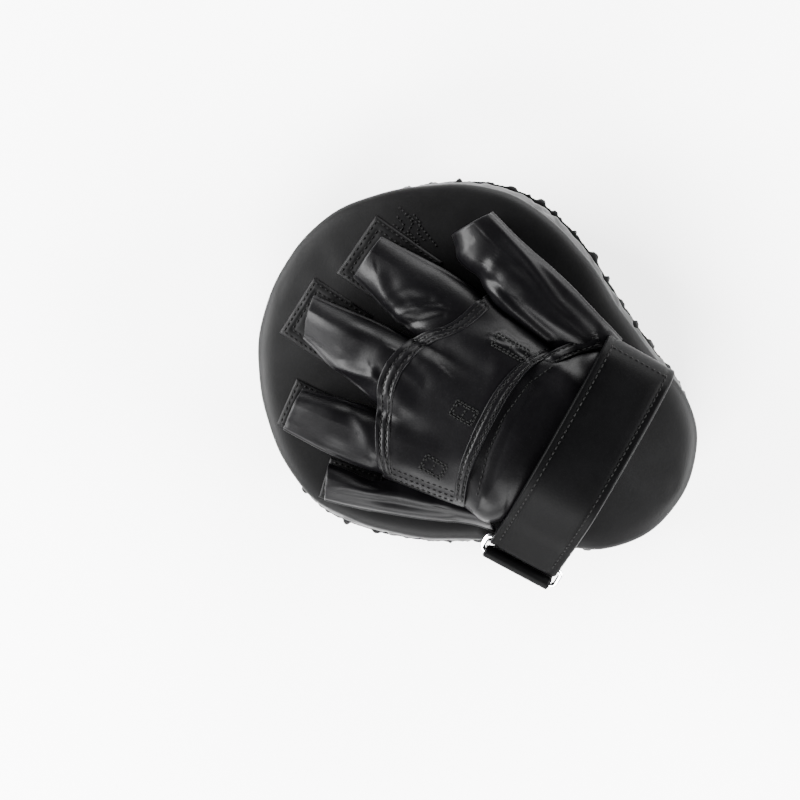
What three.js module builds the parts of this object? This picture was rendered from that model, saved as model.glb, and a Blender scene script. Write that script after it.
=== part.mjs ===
// Boxing focus mitt for a left hand, lying on its striking face.
// Millimetres. +Y points to the fingers, +X to the thumb side, +Z out of the back of the hand.
// Heights called "level" are measured from the striking face, square to the curved pad.
import * as THREE from "three";

// Pad
const padLength = 254;
const padWidth = 200;
const padBendRadius = 420;
const faceFoam = 14;
const gussetHeight = 18;
const gussetWall = 2.4;
const gussetFlare = 4;
const backFoam = 11;
const faceEdgeRound = 9;
const backEdgeRound = 13;
const restFlat = 2.6;
const restStrip = 9;
const pressShare = 0.45;
const fitGap = 0.3;
const coreGap = 0.9;
const rimFacetRoom = 2.2;
const seatGap = 0.55;
const sewGap = 0.8;

// Gathered seam round the striking face
const flangeThickness = 2;
const flangeReach = 1.6;
const pleatSpacing = 15;
const pleatReach = 2;
const flangeSeat = 6;

// Leather of the glove
const stallWall = 1.6;
const panelWall = 1.8;
const patchThickness = 1.3;
const patchEndMargin = 10;
const bandThickness = 1.2;
const knuckleBandWidth = 7;
const handSeamWidth = 7;

// Heights of the glove above the back of the pad
const stallRise = 19;
const pinkyRise = 18;
const thumbRise = 25;
const knuckleRise = 27;
const handRise = 35;
const cuffRise = 37;
const sideSeamLift = 13;

// Widths of the finger stalls at the tip and of the patches under them
const indexTipWidth = 25;
const middleTipWidth = 23;
const ringTipWidth = 23;
const indexPatchWidth = 37;
const middlePatchWidth = 35;
const ringPatchWidth = 27;
const pinkyPatchWidth = 22;

// Strap, its ring and the tab
const strapWidth = 38;
const strapThickness = 2;
const strapLayerGap = 0.5;
const strapCentreY = -65;
const ringWire = 3;
const ringInsideLength = 41.5;
const ringInsideWidth = 5.8;
const ringAcross = -0.665;
const ringCornerShare = 0.8;
const ringLift = 9;
const ringTilt = 4;
const tabThickness = 1.5;
const tabWidth = 38;
const tabSeamDrop = 2;
const tabEdgeRoom = 1;

// Mesh density
const pointsPerPleat = 3;
const archColumns = 13;
const panelColumns = 27;
const wireSides = 8;
const foldSteps = 7;

const halfLength = padLength / 2;
const halfWidth = padWidth / 2;
const ringX = ringAcross * halfWidth;

// Levels of the seams in the pad
const flangeLow = faceFoam + fitGap;
const flangeHigh = flangeLow + flangeThickness;
const gussetLow = flangeHigh + fitGap;
const gussetHigh = gussetLow + gussetHeight;
const backLow = gussetHigh + fitGap;
const padTop = backLow + backFoam;

// Outline of the pad: along is a share of half the length, half a share of half the width
const outlineRows = [
  { along: 1, half: 0 },
  { along: 0.935, half: 0.4 },
  { along: 0.71, half: 0.755 },
  { along: 0.4, half: 0.965 },
  { along: 0.16, half: 1 },
  { along: -0.12, half: 0.905 },
  { along: -0.35, half: 0.755 },
  { along: -0.6, half: 0.61 },
  { along: -0.8, half: 0.5 },
  { along: -0.94, half: 0.31 },
  { along: -1, half: 0 },
];

// Bend of the pad
function levelRadius(level) {
  return padBendRadius + level - gussetHigh;
}
const endAngle = Math.asin((halfLength - faceEdgeRound) / padBendRadius);
const floorDatum = levelRadius(0) * Math.cos(endAngle) + restFlat;

// Point over plan place x, y at a level
function over(x, y, level) {
  const radius = levelRadius(level);
  return new THREE.Vector3(x, y, Math.sqrt(radius * radius - y * y) - floorDatum);
}

// Point of the pad, whose walls stand square to the bend and are pressed flat on the floor
function inPad(x, y, level) {
  const angle = Math.asin(y / padBendRadius);
  const radius = levelRadius(level);
  const z = radius * Math.cos(angle) - floorDatum;
  return new THREE.Vector3(x, radius * Math.sin(angle), Math.max(z, level * pressShare));
}

function mix(a, b, share) {
  return a + (b - a) * share;
}

// Value of a table at a place, by straight lines between its rows
function lookUp(rows, key, value, place) {
  const last = rows.length - 1;
  const rising = rows[last][key] > rows[0][key];
  const sorted = rising ? rows : [...rows].reverse();
  if (place <= sorted[0][key]) return sorted[0][value];
  for (let i = 1; i <= last; i += 1) {
    const low = sorted[i - 1];
    const high = sorted[i];
    if (place <= high[key]) {
      const share = (place - low[key]) / (high[key] - low[key]);
      return mix(low[value], high[value], share);
    }
  }
  return sorted[last][value];
}

// Closed outline of the pad as points with their outward normals
function outlineLoop(count) {
  const right = outlineRows.map((row) => new THREE.Vector3(row.half * halfWidth, row.along * halfLength, 0));
  const left = right
    .slice(1, -1)
    .reverse()
    .map((point) => new THREE.Vector3(-point.x, point.y, 0));
  const curve = new THREE.CatmullRomCurve3([...right, ...left], true, "centripetal");
  const loop = [];
  for (let i = 0; i < count; i += 1) {
    const share = i / count;
    const point = curve.getPointAt(share);
    const tangent = curve.getTangentAt(share);
    loop.push({ x: point.x, y: point.y, nx: -tangent.y, ny: tangent.x });
  }
  return { loop, length: curve.getLength() };
}

// Mesh from a grid of points that closes on itself in both directions
function closedGrid(rows, closeRows) {
  const columns = rows[0].length;
  const positions = rows.flat().flatMap((p) => [p.x, p.y, p.z]);
  const faces = [];
  const lastRow = closeRows ? rows.length : rows.length - 1;
  for (let r = 0; r < lastRow; r += 1) {
    const next = (r + 1) % rows.length;
    for (let c = 0; c < columns; c += 1) {
      const side = (c + 1) % columns;
      const a = r * columns + c;
      const b = r * columns + side;
      const d = next * columns + c;
      const e = next * columns + side;
      faces.push(a, b, e, a, e, d);
    }
  }
  return { positions, faces, columns };
}

function toGeometry(positions, faces) {
  const geometry = new THREE.BufferGeometry();
  geometry.setAttribute("position", new THREE.Float32BufferAttribute(positions, 3));
  geometry.setIndex(signedVolume(positions, faces) < 0 ? flipped(faces) : faces);
  geometry.computeVertexNormals();
  return geometry;
}

function signedVolume(positions, faces) {
  const a = new THREE.Vector3();
  const b = new THREE.Vector3();
  const c = new THREE.Vector3();
  let total = 0;
  for (let i = 0; i < faces.length; i += 3) {
    a.fromArray(positions, faces[i] * 3);
    b.fromArray(positions, faces[i + 1] * 3);
    c.fromArray(positions, faces[i + 2] * 3);
    total += a.dot(b.cross(c));
  }
  return total;
}

function flipped(faces) {
  const out = [];
  for (let i = 0; i < faces.length; i += 3) {
    out.push(faces[i], faces[i + 2], faces[i + 1]);
  }
  return out;
}

// Solid from rings stacked between two poles
function poledSolid(rings, firstPole, lastPole) {
  const { positions, faces, columns } = closedGrid(rings, false);
  const first = positions.length / 3;
  positions.push(firstPole.x, firstPole.y, firstPole.z);
  const last = first + 1;
  positions.push(lastPole.x, lastPole.y, lastPole.z);
  const lastRing = (rings.length - 1) * columns;
  for (let c = 0; c < columns; c += 1) {
    const side = (c + 1) % columns;
    faces.push(side, c, first);
    faces.push(lastRing + c, lastRing + side, last);
  }
  return toGeometry(positions, faces);
}

// Solid from rings whose last one meets the first, like a tyre
function tyreSolid(rings) {
  const { positions, faces } = closedGrid(rings, true);
  return toGeometry(positions, faces);
}

// Solid sheet: each row holds the points of its outer and of its inner face
function sheetSolid(rows) {
  const columns = rows[0].outer.length;
  const count = rows.length;
  const skins = [...rows.map((row) => row.outer), ...rows.map((row) => row.inner)];
  const positions = skins.flat().flatMap((p) => [p.x, p.y, p.z]);
  const outer = (r, c) => r * columns + c;
  const inner = (r, c) => (count + r) * columns + c;
  const faces = [];
  const quad = (a, b, c, d) => faces.push(a, b, c, a, c, d);
  for (let r = 0; r < count - 1; r += 1) {
    for (let c = 0; c < columns - 1; c += 1) {
      quad(outer(r, c), outer(r, c + 1), outer(r + 1, c + 1), outer(r + 1, c));
      quad(inner(r, c), inner(r + 1, c), inner(r + 1, c + 1), inner(r, c + 1));
    }
    const end = columns - 1;
    quad(outer(r, 0), outer(r + 1, 0), inner(r + 1, 0), inner(r, 0));
    quad(outer(r, end), inner(r, end), inner(r + 1, end), outer(r + 1, end));
  }
  for (let c = 0; c < columns - 1; c += 1) {
    const end = count - 1;
    quad(outer(0, c), inner(0, c), inner(0, c + 1), outer(0, c + 1));
    quad(outer(end, c), outer(end, c + 1), inner(end, c + 1), inner(end, c));
  }
  return toGeometry(positions, faces);
}

// Rings of the pad, with one side for each pleat of the flange
const pleatCount = Math.round(outlineLoop(pointsPerPleat).length / pleatSpacing);
const padLoop = outlineLoop(pleatCount).loop;
const padCentreY = 0.08 * halfLength;

function padRing(inset, level) {
  return padLoop.map((p) => inPad(p.x - p.nx * inset, p.y - p.ny * inset, level));
}

// Ring drawn in from the inset one towards the middle of the pad
function innerRing(inset, share, level) {
  return padLoop.map((p) => {
    const x = (p.x - p.nx * inset) * share;
    const y = mix(padCentreY, p.y - p.ny * inset, share);
    return inPad(x, y, level);
  });
}

function frontPanel() {
  const rings = [0.3, 0.6].map((share) => innerRing(faceEdgeRound, share, 0));
  rings.push(padRing(faceEdgeRound + restStrip, 0));
  rings.push(padRing(faceEdgeRound, 0));
  rings.push(padRing(faceEdgeRound * 0.3, faceFoam * 0.14));
  rings.push(padRing(0, faceFoam * 0.45));
  rings.push(padRing(faceEdgeRound * 0.1, faceFoam * 0.85));
  rings.push(padRing(faceEdgeRound * 0.35, faceFoam));
  rings.push(padRing(flangeSeat + fitGap, faceFoam));
  rings.push(padRing(flangeSeat + fitGap, flangeHigh));
  rings.push(innerRing(flangeSeat + fitGap, 0.5, flangeHigh));
  return poledSolid(rings, inPad(0, padCentreY, 0), inPad(0, padCentreY, flangeHigh));
}

function sideBand() {
  const top = gussetFlare;
  const bulge = gussetFlare * 0.35;
  const middle = mix(gussetLow, gussetHigh, 0.5);
  const rings = [
    padRing(0.6, gussetLow),
    padRing(bulge, middle),
    padRing(top, gussetHigh),
    padRing(top + gussetWall, gussetHigh),
    padRing(bulge + gussetWall, middle),
    padRing(0.6 + gussetWall, gussetLow),
  ];
  return tyreSolid(rings);
}

// Rounded rim of the back: inset as a share of its round, drop as a share of the back's foam
const rimStart = gussetFlare * 0.55;
const rimRows = [
  { inset: 0, drop: 0.68 },
  { inset: 0.2, drop: 0.29 },
  { inset: 0.52, drop: 0.07 },
  { inset: 1, drop: 0 },
];

function backPanel() {
  const core = gussetFlare + gussetWall + fitGap;
  const coreLow = flangeHigh + coreGap;
  const rings = [
    innerRing(core, 0.5, coreLow),
    padRing(core, coreLow),
    padRing(core, gussetHigh),
    padRing(core, backLow),
    padRing(gussetFlare, backLow),
  ];
  for (const row of rimRows) {
    rings.push(padRing(rimStart + row.inset * backEdgeRound, padTop - row.drop * backFoam));
  }
  for (const share of [0.76, 0.5, 0.25]) {
    rings.push(innerRing(rimStart + backEdgeRound, share, padTop));
  }
  return poledSolid(rings, inPad(0, padCentreY, coreLow), inPad(0, padCentreY, padTop));
}

// How far the back's surface lies below its top at a plan place
function rimDrop(x, y) {
  const rimY = (y * padBendRadius) / levelRadius(padTop);
  let inset = Infinity;
  for (const p of padLoop) {
    inset = Math.min(inset, (p.x - x) * p.nx + (p.y - rimY) * p.ny);
  }
  const reach = inset - rimStart + rimFacetRoom;
  return lookUp(rimRows, "inset", "drop", reach / backEdgeRound) * backFoam;
}

// Point lifted above the back of the pad
function onPad(x, y, lift) {
  return over(x, y, padTop - rimDrop(x, y) + lift);
}

// Flange whose edge stands out in a nub at each pleat
function frontSeam() {
  const { loop } = outlineLoop(pleatCount * pointsPerPleat);
  const ring = (reach, level) =>
    loop.map((p, i) => {
      const nub = i % pointsPerPleat === 0 && reach > 0 ? pleatReach : 0;
      return inPad(p.x + p.nx * (reach + nub), p.y + p.ny * (reach + nub), level);
    });
  return tyreSolid([
    ring(-flangeSeat, flangeLow),
    ring(flangeReach, flangeLow),
    ring(flangeReach, flangeHigh),
    ring(-flangeSeat, flangeHigh),
  ]);
}

// Plan place from shares of half the pad's width and half its length
function plan(across, along) {
  return { x: across * halfWidth, y: along * halfLength };
}

// Seam paths over the hand from the thumb side to the little finger
const knucklePath = [
  { across: 0.44, along: 0.15 },
  { across: 0.23, along: 0.205 },
  { across: 0.08, along: 0.3 },
  { across: -0.06, along: 0.35 },
  { across: -0.22, along: 0.35 },
  { across: -0.37, along: 0.3 },
  { across: -0.53, along: 0.235 },
  { across: -0.67, along: 0.155 },
];
const handSeamPath = [
  { across: 0.36, along: -0.215 },
  { across: 0.22, along: -0.145 },
  { across: 0.07, along: -0.122 },
  { across: -0.1, along: -0.12 },
  { across: -0.26, along: -0.125 },
  { across: -0.42, along: -0.14 },
  { across: -0.6, along: -0.19 },
];

function planCurve(path) {
  const points = path.map((row) => new THREE.Vector3(row.across * halfWidth, row.along * halfLength, 0));
  return new THREE.CatmullRomCurve3(points, false, "centripetal");
}

// Height share of an arch and place along it for a turn of 0 to 1
const archFullness = 0.62;
function archHeight(turn) {
  return Math.sin(Math.PI * turn) ** archFullness;
}
function archPlace(turn) {
  return (1 - Math.cos(Math.PI * turn)) / 2;
}

// Row of a leather sheet over a path: at gives plan place and lift above the pad's back for a turn
function sheetRow(at, columns, wall, lowest) {
  const spots = [];
  for (let i = 0; i < columns; i += 1) {
    const spot = at(i / (columns - 1));
    spots.push(new THREE.Vector3(spot.x, spot.y, Math.max(spot.lift, lowest)));
  }
  const chord = spots[columns - 1].clone().sub(spots[0]).setZ(0).normalize();
  const side = new THREE.Vector3(-chord.y, chord.x, 0);
  const inner = spots.map((spot, i) => {
    const before = spots[Math.max(i - 1, 0)];
    const after = spots[Math.min(i + 1, columns - 1)];
    const tangent = after.clone().sub(before);
    const normal = side.clone().cross(tangent).normalize();
    if (normal.z < 0) normal.negate();
    if (i === 0) normal.copy(chord).negate();
    if (i === columns - 1) normal.copy(chord);
    const point = spot.clone().addScaledVector(normal, -wall);
    point.z = Math.max(point.z, lowest);
    return point;
  });
  const lifted = (points) => points.map((p) => onPad(p.x, p.y, p.z));
  return { outer: lifted(spots), inner: lifted(inner) };
}

const footLift = seatGap + patchThickness + fitGap;

// Back of the hand between the knuckle path and the hand seam
const knuckleCurve = planCurve(knucklePath);
const handSeamCurve = planCurve(handSeamPath);

// Dips of the knuckle edge between the fingers, at a turn across it, as shares of the height
const webDips = [
  { turn: 0.36, depth: 0.28, spread: 0.05 },
  { turn: 0.67, depth: 0.26, spread: 0.05 },
];

// Soft dents of the back of the hand: turn across, share along and depth as a share of the height
const handDents = [
  { turn: 0.36, along: 0.5, depth: 0.1, spread: 0.12 },
  { turn: 0.66, along: 0.62, depth: 0.09, spread: 0.13 },
];

function bump(distance, spread) {
  return Math.exp(-((distance / spread) ** 2));
}

function handPoint(turn, along) {
  const edge = mix(turn, archPlace(turn), 0.5);
  const knuckle = knuckleCurve.getPoint(edge);
  const seam = handSeamCurve.getPoint(edge);
  const rise = mix(knuckleRise, handRise, Math.sin((along * Math.PI) / 2));
  let share = archHeight(turn) ** 0.8;
  for (const dip of webDips) {
    share *= 1 - dip.depth * bump(turn - dip.turn, dip.spread) * (1 - along) ** 3;
  }
  for (const dent of handDents) {
    share *= 1 - dent.depth * bump(Math.hypot(turn - dent.turn, (along - dent.along) * 0.5), dent.spread);
  }
  return {
    x: mix(knuckle.x, seam.x, along),
    y: mix(knuckle.y, seam.y, along),
    lift: sideSeamLift + (rise - sideSeamLift) * share,
  };
}

// Finger stalls: the middle of the tip with its width and slant in degrees, and the stretch of the
// knuckle edge where the root is sewn; the patch starts at a share of the stall's length
const fingers = [
  {
    name: "index",
    tip: plan(0.3, 0.665),
    tipWidth: indexTipWidth,
    tipTurn: -7,
    fromTurn: 0.02,
    toTurn: 0.355,
    patchWidth: indexPatchWidth,
    patchShift: 0.05,
    patchFrom: 0.42,
  },
  {
    name: "middle",
    tip: plan(-0.13, 0.765),
    tipWidth: middleTipWidth,
    tipTurn: 14,
    fromTurn: 0.365,
    toTurn: 0.665,
    patchWidth: middlePatchWidth,
    patchShift: 0.03,
    patchFrom: 0.45,
  },
  {
    name: "ring",
    tip: plan(-0.596, 0.632),
    tipWidth: ringTipWidth,
    tipTurn: 3,
    fromTurn: 0.675,
    toTurn: 0.98,
    patchWidth: ringPatchWidth,
    patchShift: 0.03,
    patchFrom: 0.5,
  },
];

// Shape of a stall from root to tip: spread is the width added as a share, rise a share of its height
const stallRows = [
  { along: 0, spread: 0, rise: 1 },
  { along: 0.16, spread: 0.07, rise: 1.02 },
  { along: 0.38, spread: 0.1, rise: 0.98 },
  { along: 0.6, spread: 0.07, rise: 1.04 },
  { along: 0.82, spread: 0.02, rise: 1 },
  { along: 1, spread: 0, rise: 0.94 },
];

function turned(degrees) {
  const angle = THREE.MathUtils.degToRad(degrees);
  return { x: Math.cos(angle), y: Math.sin(angle) };
}

function rootPoint(finger, turn) {
  const spot = handPoint(mix(finger.fromTurn, finger.toTurn, archPlace(turn)), 0);
  const lift = footLift + (spot.lift - footLift) * archHeight(turn) ** 0.6;
  return { x: spot.x, y: spot.y + sewGap, lift };
}

function tipPoint(finger, turn) {
  const across = turned(finger.tipTurn);
  const reach = finger.tipWidth * (0.5 - archPlace(turn));
  const lift = footLift + (stallRise - footLift) * archHeight(turn);
  return { x: finger.tip.x + across.x * reach, y: finger.tip.y + across.y * reach, lift };
}

function fingerStall(finger) {
  const rows = stallRows.map((row) => {
    const at = (turn) => {
      const root = rootPoint(finger, turn);
      const tip = tipPoint(finger, turn);
      const middle = { root: rootPoint(finger, 0.5), tip: tipPoint(finger, 0.5) };
      const x = mix(root.x, tip.x, row.along);
      const y = mix(root.y, tip.y, row.along);
      const aside = x - mix(middle.root.x, middle.tip.x, row.along);
      const lift = footLift + (mix(root.lift, tip.lift, row.along) - footLift) * row.rise;
      return { x: x + aside * row.spread, y, lift };
    };
    return sheetRow(at, archColumns, stallWall, footLift);
  });
  return sheetSolid(rows);
}

// Arch from one plan place to another, with the lifts of its two edges
function archRow(from, to, fromLift, toLift, rise, columns, wall, lowest) {
  const at = (turn) => {
    const place = archPlace(turn);
    const base = mix(fromLift, toLift, place);
    const top = Math.max(rise - base, 0);
    return {
      x: mix(from.x, to.x, place),
      y: mix(from.y, to.y, place),
      lift: base + top * archHeight(turn),
    };
  };
  return sheetRow(at, columns, wall, lowest);
}

// Stitched patch that lies on the pad under a stall, past its tip by the end margin
function patchSheet(tip, root, width, fromShare, shift) {
  const length = Math.hypot(tip.x - root.x, tip.y - root.y);
  const ahead = { x: (tip.x - root.x) / length, y: (tip.y - root.y) / length };
  const across = { x: ahead.y, y: -ahead.x };
  const steps = 5;
  const rows = [];
  for (let i = 0; i < steps; i += 1) {
    const reach = mix(fromShare * length, length + patchEndMargin, i / (steps - 1));
    const outer = [];
    const inner = [];
    for (const side of [0.5, 0.25, 0, -0.25, -0.5]) {
      const x = root.x + ahead.x * reach + across.x * width * (side + shift);
      const y = root.y + ahead.y * reach + across.y * width * (side + shift);
      outer.push(onPad(x, y, seatGap + patchThickness));
      inner.push(onPad(x, y, seatGap));
    }
    rows.push({ outer, inner });
  }
  return sheetSolid(rows);
}

// Side stalls from tip to root: plan shares of the outer edge, and of the edge on the hand side where
// that edge is free. Where it is sewn to the hand panel, seamAlong is its place along the panel's side.
const pinkyRows = [
  { handX: -0.757, handY: 0.386, outX: -0.93, outY: 0.33, rise: 0.9 },
  { handX: -0.735, handY: 0.29, outX: -0.893, outY: 0.235, rise: 0.98 },
  { handX: -0.712, handY: 0.19, outX: -0.853, outY: 0.14, rise: 1.02 },
  { seamAlong: 0.16, outX: -0.81, outY: 0.04, rise: 1.04 },
  { seamAlong: 0.55, outX: -0.762, outY: -0.06, rise: 1 },
  { seamAlong: 0.97, outX: -0.665, outY: -0.245, rise: 0.95 },
];
const thumbRows = [
  { handX: 0.62, handY: 0.398, outX: 0.815, outY: 0.3, rise: 0.8 },
  { handX: 0.515, handY: 0.305, outX: 0.81, outY: 0.2, rise: 0.92 },
  { handX: 0.49, handY: 0.2, outX: 0.78, outY: 0.08, rise: 1 },
  { seamAlong: 0.1, outX: 0.74, outY: -0.04, rise: 1.04 },
  { seamAlong: 0.5, outX: 0.69, outY: -0.16, rise: 1.02 },
  { seamAlong: 0.96, outX: 0.61, outY: -0.3, rise: 0.98 },
];

// outward is 1 on the thumb side and -1 on the side of the little finger
function sideStall(rows, height, outward, foot) {
  const sections = rows.map((row) => {
    const sewn = row.seamAlong !== undefined;
    const edge = sewn ? handPoint(outward > 0 ? 0 : 1, row.seamAlong) : plan(row.handX, row.handY);
    const hand = sewn ? { x: edge.x + outward * sewGap, y: edge.y } : edge;
    const outer = plan(row.outX, row.outY);
    const lift = sewn ? sideSeamLift : foot;
    return archRow(hand, outer, lift, foot, height * row.rise, archColumns, stallWall, foot);
  });
  return sheetSolid(sections);
}

function handPanel() {
  const shares = [0, 0.12, 0.26, 0.42, 0.58, 0.74, 0.88, 1];
  const rows = shares.map((along) =>
    sheetRow((turn) => handPoint(turn, along), panelColumns, panelWall, footLift),
  );
  return sheetSolid(rows);
}

// Thin strip that lies on the hand panel between two places along it
function handStrip(fromAlong, toAlong, endTurn) {
  const rows = [fromAlong, mix(fromAlong, toAlong, 0.5), toAlong].map((along) => {
    const lower = [];
    const upper = [];
    for (let i = 0; i < panelColumns; i += 1) {
      const turn = mix(endTurn, 1 - endTurn, i / (panelColumns - 1));
      const spot = handPoint(turn, along);
      lower.push(over(spot.x, spot.y, padTop + spot.lift + sewGap));
      upper.push(over(spot.x, spot.y, padTop + spot.lift + sewGap + bandThickness));
    }
    return { outer: upper, inner: lower };
  });
  return sheetSolid(rows);
}

const handPanelLength = knuckleCurve.getPoint(0.5).distanceTo(handSeamCurve.getPoint(0.5));
const stripEndTurn = 0.035;

function knuckleBand() {
  return handStrip(0.01, knuckleBandWidth / handPanelLength, stripEndTurn);
}

function handSeam() {
  return handStrip(1 - handSeamWidth / handPanelLength, 0.99, stripEndTurn);
}

// Cuff from the hand seam to the wrist: plan places of its two edges and shares of side lift and height
const cuffRows = [
  { thumbX: 0.43, thumbY: -0.3, pinkyX: -0.6, pinkyY: -0.235, seam: 1, rise: 0.95 },
  { thumbX: 0.49, thumbY: -0.36, pinkyX: -0.56, pinkyY: -0.3, seam: 0.5, rise: 0.96 },
  { thumbX: 0.475, thumbY: -0.43, pinkyX: -0.5, pinkyY: -0.39, seam: 0, rise: 0.97 },
  { thumbX: 0.455, thumbY: -0.52, pinkyX: -0.455, pinkyY: -0.5, seam: 0, rise: 0.98 },
  { thumbX: 0.445, thumbY: -0.595, pinkyX: -0.42, pinkyY: -0.585, seam: 0, rise: 1 },
  { thumbX: 0.435, thumbY: -0.665, pinkyX: -0.39, pinkyY: -0.665, seam: 0, rise: 1 },
];

function cuffPanel() {
  const panelEdge = (turn) => {
    const spot = handPoint(turn, 1);
    return { x: spot.x, y: spot.y - sewGap, lift: spot.lift };
  };
  const rows = [sheetRow(panelEdge, panelColumns, panelWall, footLift)];
  for (const row of cuffRows) {
    const thumb = plan(row.thumbX, row.thumbY);
    const pinky = plan(row.pinkyX, row.pinkyY);
    const seam = mix(seatGap, sideSeamLift, row.seam);
    rows.push(archRow(thumb, pinky, seam, seam, cuffRise * row.rise, panelColumns, panelWall, seatGap));
  }
  return sheetSolid(rows);
}

// Strap over the wrist: across from the thumb side to the ring, lift as a share of the cuff's height
const strapRows = [
  { across: 0.55, lift: 0.5 },
  { across: 0.54, lift: 0.78 },
  { across: 0.475, lift: 1.01 },
  { across: 0.34, lift: 1.13 },
  { across: 0.1, lift: 1.17 },
  { across: -0.14, lift: 1.15 },
  { across: -0.32, lift: 1.05 },
  { across: -0.46, lift: 0.82 },
  { across: -0.56, lift: 0.58 },
];
const strapSteps = 26;
const strapFoldTurn = 131;
const foldLeadSteps = 4;

// Places of the strap's middle line in the plane across the wrist, as x and lift
function strapLine() {
  const foldRadius = ringWire / 2 + fitGap + strapThickness / 2;
  const rows = strapRows.map((row) => new THREE.Vector3(row.across * halfWidth, row.lift * cuffRise, 0));
  const foldFrom = turned(strapFoldTurn);
  rows.push(new THREE.Vector3(ringX + foldFrom.x * foldRadius, ringLift + foldFrom.y * foldRadius, 0));
  const top = new THREE.CatmullRomCurve3(rows, false, "centripetal").getSpacedPoints(strapSteps);
  const line = [...top];
  for (let i = 1; i <= foldSteps; i += 1) {
    const way = turned(strapFoldTurn + (180 * i) / foldSteps);
    line.push(new THREE.Vector3(ringX + way.x * foldRadius, ringLift + way.y * foldRadius, 0));
  }
  const layer = strapThickness + strapLayerGap;
  for (let i = top.length - 2; i > 0; i -= 1) {
    const tangent = top[i + 1].clone().sub(top[i - 1]).normalize();
    const inward = new THREE.Vector3(-tangent.y, tangent.x, 0);
    const fromFold = (top.length - 1 - i) / foldLeadSteps;
    const depth = mix(foldRadius * 2, layer, Math.min(fromFold, 1));
    line.push(top[i].clone().addScaledVector(inward, depth));
  }
  const foot = line[line.length - 1];
  line.push(new THREE.Vector3(foot.x, footLift + stallWall, 0));
  return line;
}

// Sheet along a line of x and lift, across a width in y
function lineSheet(line, thickness, sides, shiftAt) {
  const rows = sides.map((y) => {
    const outer = [];
    const inner = [];
    line.forEach((point, i) => {
      const before = line[Math.max(i - 1, 0)];
      const after = line[Math.min(i + 1, line.length - 1)];
      const tangent = after.clone().sub(before).normalize();
      const normal = new THREE.Vector3(-tangent.y, tangent.x, 0).multiplyScalar(thickness / 2);
      const shift = shiftAt ? shiftAt(i, y) : 0;
      outer.push(over(point.x - normal.x + shift, y, padTop + point.y - normal.y));
      inner.push(over(point.x + normal.x + shift, y, padTop + point.y + normal.y));
    });
    return { outer, inner };
  });
  return sheetSolid(rows);
}

function acrossY(centre, width, count) {
  const sides = [];
  for (let i = 0; i < count; i += 1) {
    sides.push(centre + width * (0.5 - i / (count - 1)));
  }
  return sides;
}

function wristStrap() {
  return lineSheet(strapLine(), strapThickness, acrossY(strapCentreY, strapWidth, 4));
}

// Rectangular wire ring, seen from above, lower at its outer bar
const ringOuterBar = ringX - ringInsideWidth - ringWire;

// Places of the points between the corners, as shares of half the ring's length
const ringBarShares = [0.5, 0, -0.5];

function strapRing() {
  const length = ringInsideLength + ringWire;
  const width = ringInsideWidth + ringWire;
  const corner = ringWire * ringCornerShare;
  const centreX = ringX - width / 2;
  const shape = [];
  const corners = [
    { x: 1, y: 1, start: 0 },
    { x: -1, y: 1, start: 90 },
    { x: -1, y: -1, start: 180 },
    { x: 1, y: -1, start: 270 },
  ];
  for (const spot of corners) {
    for (const share of [0, 0.5, 1]) {
      const way = turned(spot.start + 90 * share);
      const x = spot.x * (width / 2 - corner) + way.x * corner;
      const y = spot.y * (length / 2 - corner) + way.y * corner;
      shape.push({ x, y, way });
    }
    const runsLong = spot.x * spot.y < 0;
    for (const share of runsLong ? ringBarShares : []) {
      shape.push({ x: (spot.x * width) / 2, y: (spot.y * share * length) / 2, way: { x: spot.x, y: 0 } });
    }
  }
  const rings = [];
  for (let s = 0; s < wireSides; s += 1) {
    const turn = turned((360 * s) / wireSides);
    rings.push(
      shape.map((p) => {
        const x = centreX + p.x + p.way.x * turn.x * (ringWire / 2);
        const y = strapCentreY + p.y + p.way.y * turn.x * (ringWire / 2);
        const lift = ringLift + (ringTilt * (p.x - width / 2)) / width + turn.y * (ringWire / 2);
        return over(x, y, padTop + lift);
      }),
    );
  }
  return tyreSolid(rings);
}

// Tab from the seam at the back panel's edge, up round the ring's outer bar and back
const tabWrapFrom = -45;
const tabWrapTo = 225;

function ringTab() {
  const radius = ringWire / 2 + seatGap + tabThickness / 2;
  const barLift = ringLift - ringTilt;
  const seamLift = backLow - padTop - tabSeamDrop;
  const legGap = tabThickness / 2 + fitGap;
  const line = [new THREE.Vector3(legGap, seamLift, 0)];
  for (let i = 0; i <= foldSteps; i += 1) {
    const way = turned(mix(tabWrapFrom, tabWrapTo, i / foldSteps));
    line.push(new THREE.Vector3(way.x * radius, barLift + way.y * radius, 0));
  }
  line.push(new THREE.Vector3(-legGap, seamLift, 0));
  const last = line.length - 1;
  const shiftAt = (i, y) => {
    if (i > 0 && i < last) return ringOuterBar;
    const half = lookUp(outlineRows, "along", "half", y / halfLength) * halfWidth;
    return -(half + tabEdgeRoom);
  };
  return lineSheet(line, tabThickness, acrossY(strapCentreY, tabWidth, 5), shiftAt);
}

// Materials
function leather(name, colour, roughness) {
  const material = new THREE.MeshStandardMaterial({ color: colour, roughness, metalness: 0 });
  material.name = name;
  return material;
}
const smoothBlack = () => leather("black_leather", 0x17171a, 0.38);
const padBlack = () => leather("pad_leather", 0x141416, 0.45);
const edgeBlack = () => leather("edge_leather", 0x0f0f11, 0.5);

function chrome() {
  const material = new THREE.MeshStandardMaterial({ color: 0xd8dadd, roughness: 0.12, metalness: 1 });
  material.name = "bright_metal";
  return material;
}

const mitt = new THREE.Group();
function add(name, geometry, material) {
  const mesh = new THREE.Mesh(geometry, material);
  mesh.name = name;
  mitt.add(mesh);
}

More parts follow.
